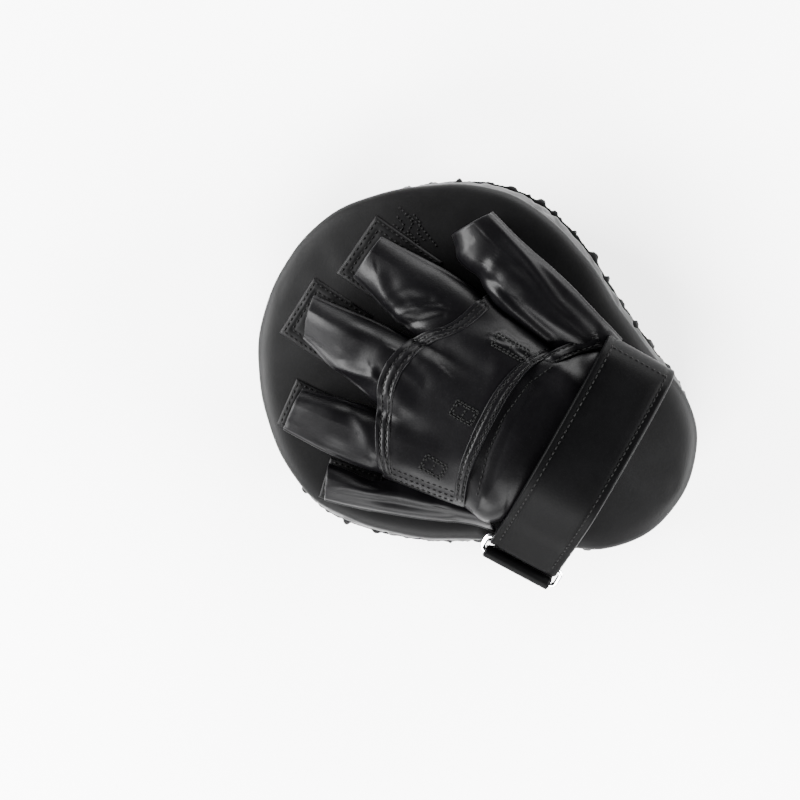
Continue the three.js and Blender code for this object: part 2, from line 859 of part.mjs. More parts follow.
add("front_panel", frontPanel(), padBlack());
add("front_seam", frontSeam(), edgeBlack());
add("side_band", sideBand(), smoothBlack());
add("back_panel", backPanel(), padBlack());
for (const finger of fingers) {
  const root = rootPoint(finger, 0.5);
  const patch = patchSheet(finger.tip, root, finger.patchWidth, finger.patchFrom, finger.patchShift);
  add(`patch_${finger.name}`, patch, padBlack());
  add(`stall_${finger.name}`, fingerStall(finger), smoothBlack());
}
const pinkyTip = plan(-0.843, 0.358);
const pinkyRoot = plan(-0.77, 0.1);
add("patch_pinky", patchSheet(pinkyTip, pinkyRoot, pinkyPatchWidth, 0.2, 0.03), padBlack());
add("stall_pinky", sideStall(pinkyRows, pinkyRise, -1, footLift), smoothBlack());
add("stall_thumb", sideStall(thumbRows, thumbRise, 1, seatGap), smoothBlack());
add("hand_panel", handPanel(), smoothBlack());
add("knuckle_band", knuckleBand(), smoothBlack());
add("hand_seam", handSeam(), smoothBlack());
add("cuff_panel", cuffPanel(), smoothBlack());
add("wrist_strap", wristStrap(), smoothBlack());
add("strap_ring", strapRing(), chrome());
add("ring_tab", ringTab(), smoothBlack());

// Origin at the middle of the box's bottom
const box = new THREE.Box3().setFromObject(mitt);
mitt.position.set(-(box.min.x + box.max.x) / 2, -(box.min.y + box.max.y) / 2, -box.min.z);

export default mitt;
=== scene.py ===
import math

import bmesh
import bpy
import numpy as np
from mathutils import Matrix, Vector
from mathutils.bvhtree import BVHTree


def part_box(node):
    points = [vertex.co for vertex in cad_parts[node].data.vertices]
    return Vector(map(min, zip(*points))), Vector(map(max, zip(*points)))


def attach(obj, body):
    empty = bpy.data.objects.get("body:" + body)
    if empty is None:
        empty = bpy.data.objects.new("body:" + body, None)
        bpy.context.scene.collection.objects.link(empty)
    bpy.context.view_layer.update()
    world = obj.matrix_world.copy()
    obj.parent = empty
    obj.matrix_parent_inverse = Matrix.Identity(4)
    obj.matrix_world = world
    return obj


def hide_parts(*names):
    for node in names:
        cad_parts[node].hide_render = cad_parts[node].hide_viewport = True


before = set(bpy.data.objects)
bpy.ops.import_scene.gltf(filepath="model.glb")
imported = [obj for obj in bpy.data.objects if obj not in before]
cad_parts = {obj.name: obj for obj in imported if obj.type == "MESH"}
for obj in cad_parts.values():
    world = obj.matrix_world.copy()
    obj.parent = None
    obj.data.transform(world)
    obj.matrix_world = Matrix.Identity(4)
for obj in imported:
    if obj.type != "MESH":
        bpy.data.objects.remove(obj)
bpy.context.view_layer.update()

# Black boxing focus mitt for a left hand, lying on its striking face.
# Tables and sizes are in millimetres, and meshes are made in metres.
# A level is measured from the striking face, a lift from the back of the pad.
MM = 0.001

# Pad
PAD_LENGTH = 254.0
PAD_WIDTH = 200.0
BEND_RADIUS = 420.0
FACE_FOAM = 14.0
GUSSET_HEIGHT = 18.0
GUSSET_WALL = 2.4
GUSSET_FLARE = 4.0
BACK_FOAM = 11.0
FACE_ROUND = 9.0
BACK_ROUND = 13.0
REST_FLAT = 2.6
PRESS_SHARE = 0.45
FIT_GAP = 0.3
SEAT_GAP = 0.55
SEW_GAP = 0.8
RIM_ROOM = 2.2
FLANGE_THICKNESS = 2.0
FLANGE_REACH = 1.4
FLANGE_SEAT = 6.0
PLEAT_COUNT = 47

# Glove
STALL_WALL = 1.5
PANEL_WALL = 1.7
PATCH_THICKNESS = 1.3
PATCH_MARGIN = {"index": 10.0, "middle": 10.0, "ring": 6.0, "pinky": 2.5}
STALL_RISE = 19.0
PINKY_RISE = 18.0
THUMB_RISE = 25.0
KNUCKLE_RISE = 27.0
HAND_RISE = 35.0
CUFF_RISE = 37.0
SIDE_SEAM_LIFT = 13.0
BAND_WIDTH = 7.0
BAND_THICKNESS = 1.1
BAND_SEAT = 0.45
BAND_END_SINK = 1.4

# Strap, ring and tab
STRAP_WIDTH = 38.0
STRAP_THICKNESS = 2.0
STRAP_LAYER_GAP = 0.5
RING_WIRE = 3.0
RING_INSIDE_LENGTH = 41.5
RING_INSIDE_WIDTH = 5.8
RING_X = -66.5
RING_LIFT = 9.0
RING_TILT = 4.0
TAB_THICKNESS = 1.5
TAB_WIDTH = 38.0
STRAP_Y = -65.0
STRAP_ROW_INSET = 3.2

FLANGE_LOW = FACE_FOAM + FIT_GAP
FLANGE_HIGH = FLANGE_LOW + FLANGE_THICKNESS
GUSSET_LOW = FLANGE_HIGH + FIT_GAP
GUSSET_HIGH = GUSSET_LOW + GUSSET_HEIGHT
BACK_LOW = GUSSET_HIGH + FIT_GAP
PAD_TOP = BACK_LOW + BACK_FOAM
HALF_LENGTH = PAD_LENGTH / 2
HALF_WIDTH = PAD_WIDTH / 2
FOOT_LIFT = SEAT_GAP + PATCH_THICKNESS + FIT_GAP

rng = np.random.default_rng(11)


# Curves
def neighbours(pts, before, after, places):
    """Four rows round each place from 0 to 1 along a table, and its share between the middle two."""
    run = np.vstack([before, pts, after])
    spans = len(run) - 3
    spot = np.atleast_1d(places) * spans
    i = np.minimum(spot.astype(int), spans - 1)
    return [run[i + k] for k in range(4)], (spot - i)[:, None]


def catmull(points, closed, places):
    """Centripetal Catmull-Rom through points, at places from 0 to 1."""
    pts = np.asarray(points, float)
    ends = (pts[-1], pts[:2]) if closed else (2 * pts[0] - pts[1], 2 * pts[-1] - pts[-2])
    (p0, p1, p2, p3), w = neighbours(pts, *ends, places)
    steps = [np.linalg.norm(b - a, axis=1)[:, None] for a, b in ((p0, p1), (p1, p2), (p2, p3))]
    d0, d1, d2 = np.maximum(steps, 1e-6) ** 0.5
    t1 = ((p1 - p0) / d0 - (p2 - p0) / (d0 + d1) + (p2 - p1) / d1) * d1
    t2 = ((p2 - p1) / d1 - (p3 - p1) / (d1 + d2) + (p3 - p2) / d2) * d1
    c2 = -3 * p1 + 3 * p2 - 2 * t1 - t2
    c3 = 2 * p1 - 2 * p2 + t1 + t2
    return p1 + t1 * w + c2 * w * w + c3 * w ** 3


def soft(rows, places):
    """Smooth values of a table at places from 0 to 1 along its rows, as one upright array a column."""
    table = np.asarray(rows, float)
    (p0, p1, p2, p3), w = neighbours(table, 2 * table[0] - table[1], 2 * table[-1] - table[-2], places)
    slope1, slope2 = (p2 - p0) / 2, (p3 - p1) / 2
    c2 = 3 * (p2 - p1) - 2 * slope1 - slope2
    c3 = 2 * (p1 - p2) + slope1 + slope2
    return (p1 + slope1 * w + c2 * w * w + c3 * w ** 3).T[:, :, None]


def run_of(pts):
    """Length along a polyline up to each of its points."""
    return np.concatenate([[0], np.cumsum(np.linalg.norm(np.diff(pts, axis=0), axis=1))])


def pick(stops, run, pts):
    """Points at stops along a run."""
    return np.stack([np.interp(stops, run, pts[:, k]) for k in range(pts.shape[1])], axis=-1)


def even(points, count, closed=False):
    """Points at even steps along a polyline."""
    pts = np.asarray(points, float)
    if closed:
        pts = np.vstack([pts, pts[:1]])
    run = run_of(pts)
    return pick(np.linspace(0, run[-1], count, endpoint=not closed), run, pts)


def headings(line):
    """Unit directions along a polyline."""
    ahead = np.gradient(line, axis=0)
    return ahead / np.linalg.norm(ahead, axis=1)[:, None]


def mix(a, b, share):
    return a + (b - a) * share


def smooth_step(low, high, value):
    t = np.clip((value - low) / (high - low), 0, 1)
    return t * t * (3 - 2 * t)


# Bend of the pad
def level_radius(level):
    return BEND_RADIUS + level - GUSSET_HIGH


FLOOR_DATUM = level_radius(0) * math.cos(math.asin((HALF_LENGTH - FACE_ROUND) / BEND_RADIUS)) + REST_FLAT
strap_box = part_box("wrist_strap")
SHIFT_Y = (strap_box[0][1] + strap_box[1][1]) / 2 / MM - STRAP_Y


def over(x, y, level):
    """World millimetres over plan places at levels."""
    height = np.sqrt(level_radius(level) ** 2 - y ** 2) - FLOOR_DATUM
    return np.stack([x + 0 * level, y + SHIFT_Y + 0 * level, height], axis=-1)


def in_pad(x, y, level):
    """World millimetres in the pad, whose walls stand square to the bend."""
    angle = np.arcsin(y / BEND_RADIUS)
    radius = level_radius(level)
    z = np.maximum(radius * np.cos(angle) - FLOOR_DATUM, np.asarray(level) * PRESS_SHARE)
    return np.stack([x + 0 * z, radius * np.sin(angle) + SHIFT_Y, z], axis=-1)


OUTLINE = [
    (1, 0), (0.935, 0.4), (0.71, 0.755), (0.4, 0.965), (0.16, 1), (-0.12, 0.905),
    (-0.35, 0.755), (-0.6, 0.61), (-0.8, 0.5), (-0.94, 0.31), (-1, 0),
]


# The pad is fuller beside the little finger and slacker beside the thumb: middle, spread and reach
PINKY_FULLNESS = (66.0, 34.0, 6.0)
THUMB_FULLNESS = (88.0, 30.0, -2.5)


def fuller(y, middle, spread, reach):
    return reach * math.exp(-((y - middle) / spread) ** 2)


def outline_loop(count):
    """Even points round the pad, clockwise from its finger end, with their outward normals."""
    right = [(half * HALF_WIDTH, along * HALF_LENGTH) for along, half in OUTLINE]
    left = [(-x - fuller(y, *PINKY_FULLNESS), y) for x, y in right[-2:0:-1]]
    right = [(x + fuller(y, *THUMB_FULLNESS) * (x > 0), y) for x, y in right]
    dense = catmull(right + left, True, np.linspace(0, 1, 1200, endpoint=False))
    loop = even(dense, count, closed=True)
    tangent = np.roll(loop, -1, axis=0) - np.roll(loop, 1, axis=0)
    tangent /= np.linalg.norm(tangent, axis=1)[:, None]
    return loop, np.stack([-tangent[:, 1], tangent[:, 0]], axis=1)


RIM_LOOP, RIM_NORMAL = outline_loop(240)
RIM_START = GUSSET_FLARE * 0.55
RIM_INSETS = np.array([0, 0.2, 0.52, 1]) * BACK_ROUND
RIM_DROPS = np.array([0.68, 0.29, 0.07, 0]) * BACK_FOAM


def rim_drop(x, y):
    """How far the back's surface lies below its top at plan places."""
    shape = np.broadcast(x, y).shape
    px = np.broadcast_to(x, shape).ravel()
    py = np.broadcast_to(y, shape).ravel() * BEND_RADIUS / level_radius(PAD_TOP)
    inset = np.full(px.shape, 1e9)
    for (cx, cy), (nx, ny) in zip(RIM_LOOP, RIM_NORMAL):
        inset = np.minimum(inset, (cx - px) * nx + (cy - py) * ny)
    drop = np.interp(inset - RIM_START + RIM_ROOM, RIM_INSETS, RIM_DROPS)
    return drop.reshape(shape)


def on_pad(x, y, lift):
    return over(x, y, PAD_TOP - rim_drop(x, y) + lift)


# Relief
def ripple(x, y, scale, seed):
    """Soft seeded waves between about -1 and 1, of a size in millimetres."""
    waves = np.random.default_rng(seed)
    total = 0
    for _ in range(9):
        angle = waves.uniform(0, 2 * math.pi)
        rate = 2 * math.pi / (scale * waves.uniform(0.7, 1.6))
        total = total + np.sin((x * math.cos(angle) + y * math.sin(angle)) * rate + waves.uniform(0, 6.3))
    return total / 4.5


def creases(x, y, rows):
    """Folds along plan paths: points, width and height. Each has a shallow furrow on its left."""
    total = 0
    for path, width, height in rows:
        pts = np.asarray(path, float)
        run = run_of(pts)
        run /= run[-1]
        best = np.full(np.shape(x), 1e9)
        side = np.zeros(np.shape(x))
        place = np.zeros(np.shape(x))
        for a, b, ra, rb in zip(pts, pts[1:], run, run[1:]):
            dx, dy = b - a
            t = np.clip(((x - a[0]) * dx + (y - a[1]) * dy) / (dx * dx + dy * dy), 0, 1)
            ox, oy = x - a[0] - t * dx, y - a[1] - t * dy
            away = np.hypot(ox, oy)
            nearer = away < best
            best = np.where(nearer, away, best)
            side = np.where(nearer, np.sign(dx * oy - dy * ox), side)
            place = np.where(nearer, ra + t * (rb - ra), place)
        fade = 0.35 + 0.65 * np.sin(np.pi * np.clip(0.12 + 0.76 * place, 0, 1))
        ridge = np.exp(-(best / width) ** 2)
        furrow = 0.4 * np.exp(-((best * side - 1.7 * width) / width) ** 2)
        total = total + height * fade * (ridge - furrow)
    return total


# Meshes
def grid_normals(points):
    along = np.gradient(points, axis=0)
    across = np.gradient(points, axis=1)
    normal = np.cross(across, along)
    normal /= np.maximum(np.linalg.norm(normal, axis=2), 1e-9)[:, :, None]
    middle = normal[normal.shape[0] // 2, normal.shape[1] // 2]
    return normal if middle[2] > 0 else -normal


def make_object(name, points, faces, material, nodes=()):
    mesh = bpy.data.meshes.new(name)
    mesh.from_pydata((np.asarray(points).reshape(-1, 3) * MM).tolist(), [], faces)
    mesh.validate()
    mesh.polygons.foreach_set("use_smooth", [True] * len(mesh.polygons))
    mesh.update()
    obj = bpy.data.objects.new(name, mesh)
    bpy.context.scene.collection.objects.link(obj)
    outward(obj)
    obj.data.materials.append(material)
    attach(obj, "root")
    if nodes:
        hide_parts(*nodes)
    return obj


def outward(obj):
    """Turns the faces of a closed mesh outward."""
    work = bmesh.new()
    work.from_mesh(obj.data)
    bmesh.ops.recalc_face_normals(work, faces=work.faces)
    work.to_mesh(obj.data)
    work.free()


def quads(rows, columns, offset=0, wrap=False):
    faces = []
    last = columns if wrap else columns - 1
    for r in range(rows - 1):
        for c in range(last):
            d = (c + 1) % columns
            a, b = offset + r * columns, offset + (r + 1) * columns
            faces.append((a + c, a + d, b + d, b + c))
    return faces


def shell(name, outer, wall, material, nodes=(), normals=None):
    """Leather sheet with rounded edges from the grid of its outer face."""
    rows, columns = outer.shape[:2]
    normal = grid_normals(outer) if normals is None else normals
    thick = np.asarray(wall) * np.ones(outer.shape[:2])
    inner = outer - normal * thick[:, :, None]
    edge = [(0, c) for c in range(columns)] + [(r, columns - 1) for r in range(1, rows)]
    edge += [(rows - 1, c) for c in range(columns - 2, -1, -1)] + [(r, 0) for r in range(rows - 2, 0, -1)]
    middle = (outer + inner) / 2
    bulged = []
    for r, c in edge:
        away = middle[r, c] - middle[min(max(r, 1), rows - 2), min(max(c, 1), columns - 2)]
        away /= max(np.linalg.norm(away), 1e-9)
        bulged.append(middle[r, c] + away * thick[r, c] * 0.42)
    points = np.vstack([outer.reshape(-1, 3), inner.reshape(-1, 3), np.array(bulged)])
    total = rows * columns
    faces = quads(rows, columns)
    faces += [tuple(reversed(face)) for face in quads(rows, columns, total)]
    count = len(edge)
    for i in range(count):
        j = (i + 1) % count
        a, b = edge[i][0] * columns + edge[i][1], edge[j][0] * columns + edge[j][1]
        faces.append((a, 2 * total + i, 2 * total + j, b))
        faces.append((2 * total + i, total + a, total + b, 2 * total + j))
    return make_object(name, points, faces, material, nodes)


def rings_object(name, rings, material, nodes=(), poles=True):
    """Solid from closed rings, with a fan at each end or joined end to end."""
    rows, columns = len(rings), len(rings[0])
    points = np.vstack(rings)
    faces = quads(rows, columns, wrap=True)
    top, pole = (rows - 1) * columns, rows * columns
    if poles:
        points = np.vstack([points, rings[0].mean(axis=0), rings[-1].mean(axis=0)])
    for c in range(columns):
        d = (c + 1) % columns
        if poles:
            faces += [(d, c, pole), (top + c, top + d, pole + 1)]
        else:
            faces.append((top + c, top + d, d, c))
    return make_object(name, points, faces, material, nodes)


# Materials
class Surface:
    """A material with its shader, and nodes that are added as they are asked for."""

    def __init__(self, name):
        self.material = bpy.data.materials.new(name)
        self.material.use_nodes = True
        self.nodes, self.links = self.material.node_tree.nodes, self.material.node_tree.links
        self.place = self.nodes.new("ShaderNodeTexCoord").outputs["Object"]

    def feed(self, node, inputs):
        """Sets inputs to their numbers, or links them to their sockets."""
        for name, value in inputs.items():
            if isinstance(name, str):
                name = name.replace("_", " ")
            if isinstance(value, bpy.types.NodeSocket):
                self.links.new(value, node.inputs[name])
            else:
                node.inputs[name].default_value = value

    def node(self, kind, **inputs):
        node = self.nodes.new("ShaderNode" + kind)
        self.feed(node, inputs)
        return node

    def noise(self, scale, detail, roughness=0.55):
        node = self.node("TexNoise", Vector=self.place, Scale=scale, Detail=detail, Roughness=roughness)
        return node.outputs["Fac"]

    def multiply_add(self, *values):
        node = self.nodes.new("ShaderNodeMath")
        node.operation = "MULTIPLY_ADD"
        self.feed(node, dict(enumerate(values)))
        return node.outputs[0]

    def ramp(self, factor, dark, light, low=0.0, high=1.0):
        node = self.node("ValToRGB", Fac=factor)
        for stop, place, colour in zip(node.color_ramp.elements, (low, high), (dark, light)):
            stop.position = place
            stop.color = (*colour, 1)
        return node.outputs["Color"]

    def spread(self, value, low, high, first=0.0, last=1.0):
        """Runs from low to high where the value goes from first to last."""
        node = self.node("MapRange", Value=value, From_Min=first, From_Max=last, To_Min=low, To_Max=high)
        return node.outputs["Result"]

    def bump(self, height, strength, distance):
        return self.node("Bump", Height=height, Strength=strength, Distance=distance).outputs["Normal"]

    def dress(self, **inputs):
        self.feed(self.nodes["Principled BSDF"], inputs)
        return self.material


TONE_LOW, TONE_HIGH = 0.36, 0.68
GLOSS_FIRST, GLOSS_LAST = 0.32, 0.68


def leather(name, dark, light, gloss, sheen, pull=0.9):
    """Smooth coated leather: fine pebble, soft pull lines, cloudy gloss and dusty scuffs."""
    surface = Surface(name)
    clouds, scuffs = surface.noise(38, 4), surface.noise(420, 5, 0.7)
    pulls, fine = surface.noise(150, 3), surface.noise(2600, 2)
    pebble = surface.node("TexVoronoi", Vector=surface.place, Scale=1250)
    pebble.feature = "SMOOTH_F1"
    tone = surface.multiply_add(scuffs, 0.35, surface.multiply_add(clouds, 0.65, 0.0))
    height = surface.multiply_add(pebble.outputs["Distance"], 0.5, 0.0)
    height = surface.multiply_add(fine, 0.22, height)
    height = surface.multiply_add(pulls, pull, height)
    return surface.dress(
        Base_Color=surface.ramp(tone, dark, light, TONE_LOW, TONE_HIGH),
        Roughness=surface.spread(tone, *gloss, GLOSS_FIRST, GLOSS_LAST),
        Normal=surface.bump(height, 0.32, 0.00016),
        Specular_IOR_Level=sheen,
    )


def thread_material():
    """Twisted thread with a soft nap."""
    surface = Surface("sewing_thread")
    twist = surface.noise(5200, 2)
    colour = surface.ramp(twist, (0.0005,) * 3, (0.0013,) * 3)
    normal = surface.bump(twist, 0.5, 0.0001)
    return surface.dress(Base_Color=colour, Roughness=0.6, Specular_IOR_Level=0.06, Normal=normal)


def metal_material():
    """Bright plated wire with fine wear."""
    surface = Surface("ring_plating")
    wear = surface.noise(600, 4)
    colour = surface.ramp(wear, (0.72, 0.72, 0.74), (0.9, 0.9, 0.91))
    return surface.dress(Base_Color=colour, Roughness=surface.spread(wear, 0.1, 0.28), Metallic=1)


PAD_LEATHER = leather("pad_black", (0.00055, 0.00055, 0.0006), (0.0009, 0.0009, 0.001), (0.45, 0.53), 0.054)
BAND_LEATHER = leather("band_black", (0.0007, 0.0007, 0.0008), (0.0012, 0.0012, 0.0014), (0.38, 0.48), 0.085)
SEAM_LEATHER = leather("seam_black", (0.0005, 0.0005, 0.0006), (0.0009, 0.0009, 0.001), (0.4, 0.5), 0.08)
GLOVE_LEATHER = leather(
    "glove_black", (0.0005, 0.00045, 0.0006), (0.00085, 0.0008, 0.001), (0.35, 0.44), 0.054, 1.7,
)
STRAP_LEATHER = leather("strap_black", (0.00045, 0.00045, 0.0005), (0.0008, 0.0008, 0.0009), (0.42, 0.5), 0.02)
THREAD = thread_material()
METAL = metal_material()


# Stitches
STITCH_SIDES = 6
# Stations along a stitch: share of its length, share of its radius, and lift
STITCH_STATIONS = [
    (-0.5, 0.25, -0.35), (-0.36, 0.8, 0.0), (0.0, 1.0, 0.18), (0.36, 0.8, 0.0), (0.5, 0.25, -0.35),
]


def below(tree, x, y):
    """Place and normal of a surface right under a plan place."""
    return tree.ray_cast(Vector((x * MM, (y + SHIFT_Y) * MM, 0.2)), Vector((0, 0, -1)))[:2]


def cast(paths, tree):
    """Drops plan paths on a surface from above: points and normals in world millimetres."""
    tracks = []
    for path in paths:
        hits = [below(tree, x, y) for x, y in even(path, max(int(len(path) * 6), 24))]
        hits = [(np.array(hit) / MM, np.array(normal)) for hit, normal in hits if hit is not None]
        if len(hits) > 2:
            tracks.append([np.array(column) for column in zip(*hits)])
    return tracks


def surface_tree(*objects):
    vertices, faces = [], []
    for obj in objects:
        start = len(vertices)
        vertices += [v.co.copy() for v in obj.data.vertices]
        faces += [[start + i for i in p.vertices] for p in obj.data.polygons]
    return BVHTree.FromPolygons(vertices, faces)


def sew(name, rows, piece, pitch=3.1, length=2.35, radius=0.42):
    """Rows of short thread stitches on a piece, sunk into its leather at both ends."""
    sides = STITCH_SIDES
    points, faces = [], []
    for path, normals in cast(rows, surface_tree(piece)):
        run = run_of(path)
        count = max(int(run[-1] / pitch), 1)
        for i in range(count):
            middle = (i + 0.5) * run[-1] / count
            at, before, after = (pick(middle + s, run, path) for s in (0, -1, 1))
            ahead = (after - before) / max(np.linalg.norm(after - before), 1e-9)
            side = np.cross(pick(middle, run, normals), ahead)
            side /= max(np.linalg.norm(side), 1e-9)
            upward = np.cross(ahead, side)
            start = len(points)
            for reach, thick, lift in STITCH_STATIONS:
                centre = at + ahead * reach * length + upward * (lift + 0.02)
                for s in range(sides):
                    angle = 2 * math.pi * s / sides
                    spread = side * math.cos(angle) + upward * math.sin(angle)
                    points.append(centre + spread * radius * thick)
            faces += quads(len(STITCH_STATIONS), sides, start, wrap=True)
            faces.append(tuple(start + s for s in range(sides - 1, -1, -1)))
            last = start + (len(STITCH_STATIONS) - 1) * sides
            faces.append(tuple(last + s for s in range(sides)))
    return make_object(name, points, faces, THREAD)


# Padded pieces: a pinned skin swells under pressure and keeps its seams
def swell(obj, pinned, pressure, cap, frames=16, calm_rings=0):
    """Cloth pressure with a limit to its reach. The first rings are calmed towards their middle."""
    rest = np.array([v.co[:] for v in obj.data.vertices])
    group = obj.vertex_groups.new(name="sewn")
    group.add([int(i) for i in pinned], 1.0, "REPLACE")
    cloth = obj.modifiers.new("swell", "CLOTH")
    settings = dict(
        quality=6, mass=0.4, tension_stiffness=22, compression_stiffness=22, bending_stiffness=3,
        use_pressure=True, uniform_pressure_force=pressure, vertex_group_mass="sewn",
    )
    for key, value in settings.items():
        setattr(cloth.settings, key, value)
    cloth.settings.effector_weights.gravity = 0
    cloth.collision_settings.use_collision = False
    scene = bpy.context.scene
    for step in range(1, frames + 1):
        scene.frame_set(step)
    shaped = obj.evaluated_get(bpy.context.evaluated_depsgraph_get())
    moved = np.array([v.co[:] for v in shaped.data.vertices])
    scene.frame_set(1)
    obj.modifiers.remove(cloth)
    shift = moved - rest
    size = np.linalg.norm(shift, axis=1)
    shift *= np.minimum(1, cap * MM / np.maximum(size, 1e-9))[:, None]
    for i in range(calm_rings):
        ring_shift = shift[i * LOOP_COUNT:(i + 1) * LOOP_COUNT]
        ring_shift += (ring_shift.mean(axis=0) - ring_shift) * (1 - i / calm_rings)
    if calm_rings:
        shift[-2] = shift[:LOOP_COUNT].mean(axis=0)
    settled = rest + shift
    settled[:, 2] = np.maximum(settled[:, 2], 0)
    obj.data.vertices.foreach_set("co", settled.ravel())
    obj.data.update()


LOOP_COUNT = 188
FACE_RINGS = 16
# Rings round the rim of the striking face that may swell
FACE_FREE_RINGS = 6
pad_loop, pad_normal = outline_loop(LOOP_COUNT)
PAD_CENTRE_Y = 0.08 * HALF_LENGTH


def pad_ring(inset, level, loop=None, normal=None):
    loop = pad_loop if loop is None else loop
    normal = pad_normal if normal is None else normal
    spot = loop - normal * np.asarray(inset).reshape(-1, 1)
    return in_pad(spot[:, 0], spot[:, 1], level + 0 * spot[:, 0])


def inner_ring(inset, share, level):
    spot = pad_loop - pad_normal * inset
    return in_pad(spot[:, 0] * share, mix(PAD_CENTRE_Y, spot[:, 1], share), level + 0 * spot[:, 0])


def striking_face():
    """Padded striking face, smooth and plain, gathered a little along its seam."""
    turn = np.arange(LOOP_COUNT) / LOOP_COUNT * PLEAT_COUNT * 2 * math.pi
    rings = [inner_ring(FACE_ROUND, share, 0.0) for share in np.linspace(0.06, 0.97, FACE_RINGS)]
    profile = [
        (1.0, 0.0), (0.62, 0.05), (0.36, 0.16), (0.14, 0.3),
        (0.02, 0.48), (0.0, 0.68), (0.12, 0.86), (0.38, 1.0),
    ]
    for inset, level in profile:
        pucker = 0.35 * np.cos(turn) * smooth_step(0.1, 0.9, level)
        rings.append(pad_ring(inset * FACE_ROUND - pucker, level * FACE_FOAM))
    rings.append(pad_ring(FLANGE_SEAT + FIT_GAP, FACE_FOAM))
    rings.append(inner_ring(FLANGE_SEAT + FIT_GAP, 0.5, FACE_FOAM))
    obj = rings_object("striking_face", rings, PAD_LEATHER, ["front_panel"])
    first_pinned = (FACE_RINGS + FACE_FREE_RINGS) * LOOP_COUNT
    swell(obj, range(first_pinned, len(obj.data.vertices) - 2), 1.6, 1.2, calm_rings=12)
    return obj


def back_face():
    """Padded back with its soft rounded rim."""
    core = GUSSET_FLARE + GUSSET_WALL + FIT_GAP
    rings = [inner_ring(core, 0.5, GUSSET_LOW), pad_ring(core, GUSSET_LOW), pad_ring(core, BACK_LOW)]
    rings.append(pad_ring(GUSSET_FLARE + 0.5, BACK_LOW))
    rings.append(pad_ring(GUSSET_FLARE + 0.1, BACK_LOW + 0.5))
    bend = np.linspace(0, 1, 12)[1:]
    turn = np.arange(LOOP_COUNT)
    wave = 0.25 * np.sin(turn * 0.31) + 0.2 * np.sin(turn * 0.73 + 1)
    for share in bend:
        angle = share * math.pi / 2
        inset = RIM_START + 1.5 * (1 - share) ** 0.5 + BACK_ROUND * (1 - math.cos(angle)) ** 1.5
        level = BACK_LOW + BACK_FOAM * math.sin(angle) ** 0.68
        rings.append(pad_ring(inset + wave * (1 - share), level))
    for share in np.linspace(0.96, 0.05, FACE_RINGS):
        rings.append(inner_ring(RIM_START + BACK_ROUND, share, PAD_TOP))
    obj = rings_object("back_face", rings, PAD_LEATHER, ["back_panel"])
    swell(obj, list(range(5 * LOOP_COUNT)) + [len(obj.data.vertices) - 2], 0.9, 0.5)
    return obj


OUTLINE_RUN = 720
GUSSET_CREASES = 120
SHIRRING_COUNT = 71


def gusset():
    """Side strip with gathers at the striking face and slanting pull creases."""
    count = LOOP_COUNT * 3
    loop, normal = outline_loop(count)
    run = np.linspace(0, OUTLINE_RUN, count, endpoint=False)
    table = []
    for _ in range(GUSSET_CREASES):
        x = rng.uniform(0, OUTLINE_RUN)
        low, high = rng.uniform(-0.1, 0.5), rng.uniform(0.4, 1.1)
        path = [(x, low * GUSSET_HEIGHT), (x + rng.uniform(-14, 14), high * GUSSET_HEIGHT)]
        table.append((path, rng.uniform(1.0, 2.6), rng.uniform(-1.3, 0.8)))
    turn = run / OUTLINE_RUN * 2 * math.pi
    gather = 0.55 * np.cos(turn * PLEAT_COUNT)
    shirring = 0.3 * np.cos(turn * SHIRRING_COUNT + 2.5 * np.sin(run / 41))
    outer, inner = [], []
    for v in np.linspace(0, 1, 15):
        level = mix(GUSSET_LOW, GUSSET_HIGH, v)
        inset = np.interp(v, [0, 0.5, 1], [0.6, GUSSET_FLARE * 0.35, GUSSET_FLARE])
        creased = creases(run, v * GUSSET_HEIGHT, table) * math.sin(math.pi * (0.08 + 0.84 * v)) ** 0.5
        relief = gather * (1 - v) ** 2 + shirring * v ** 2 + creased + 0.8 * math.sin(math.pi * v)
        outer.append(pad_ring(inset - relief, level, loop, normal))
        inner.append(pad_ring(inset + GUSSET_WALL * 0.8, level, loop, normal))
    rings = outer + inner[::-1]
    return rings_object("gusset", rings, BAND_LEATHER, ["side_band"], poles=False)


def gathered_seam():
    """Ragged gathered edge between the striking face and the side strip, with a nub at each pleat."""
    per_pleat = 20
    count = PLEAT_COUNT * per_pleat
    loop, normal = outline_loop(count)
    pleat = np.arange(count) // per_pleat
    within = (np.arange(count) % per_pleat) / per_pleat
    size = (rng.uniform(0, 1, PLEAT_COUNT) ** 1.3 * 1.15 + 0.1)[pleat]
    lean = rng.uniform(-0.24, 0.24, PLEAT_COUNT)[pleat]
    breadth = rng.uniform(0.09, 0.2, PLEAT_COUNT)[pleat]
    nub = np.exp(-(((within - 0.5 - lean) / breadth) ** 4)) * size
    second_size = rng.uniform(-0.5, 0.7, PLEAT_COUNT).clip(0)[pleat]
    nub = np.maximum(nub, np.exp(-(((within - 0.5 + lean * 1.2) / 0.07) ** 4)) * second_size)
    steps = np.arange(count) * 1.0
    rag = 0.22 * ripple(steps, 0, 4, 21) + 0.2 * ripple(steps, 0, 11, 22)
    flap = 0.5 * np.sin(2 * math.pi * within + 0.6) * (0.6 + 0.4 * size)
    profile = [
        (-FLANGE_SEAT, 0.0, 0), (0.2, 0.05, 0.3), (0.8, 0.0, 0.7), (1.0, 0.25, 1),
        (1.0, 0.75, 1), (0.8, 1.0, 0.7), (0.2, 0.95, 0.3), (-FLANGE_SEAT, 1.0, 0),
    ]
    rings = []
    for reach, level, loose in profile:
        out = reach if reach < 0 else reach * FLANGE_REACH + loose * (nub * 2.1 + rag)
        rise = FLANGE_LOW + level * FLANGE_THICKNESS + loose * (flap - nub * 0.4)
        rings.append(pad_ring(-out, rise, loop, normal))
    return rings_object("gathered_seam", rings, SEAM_LEATHER, ["front_seam"], poles=False)


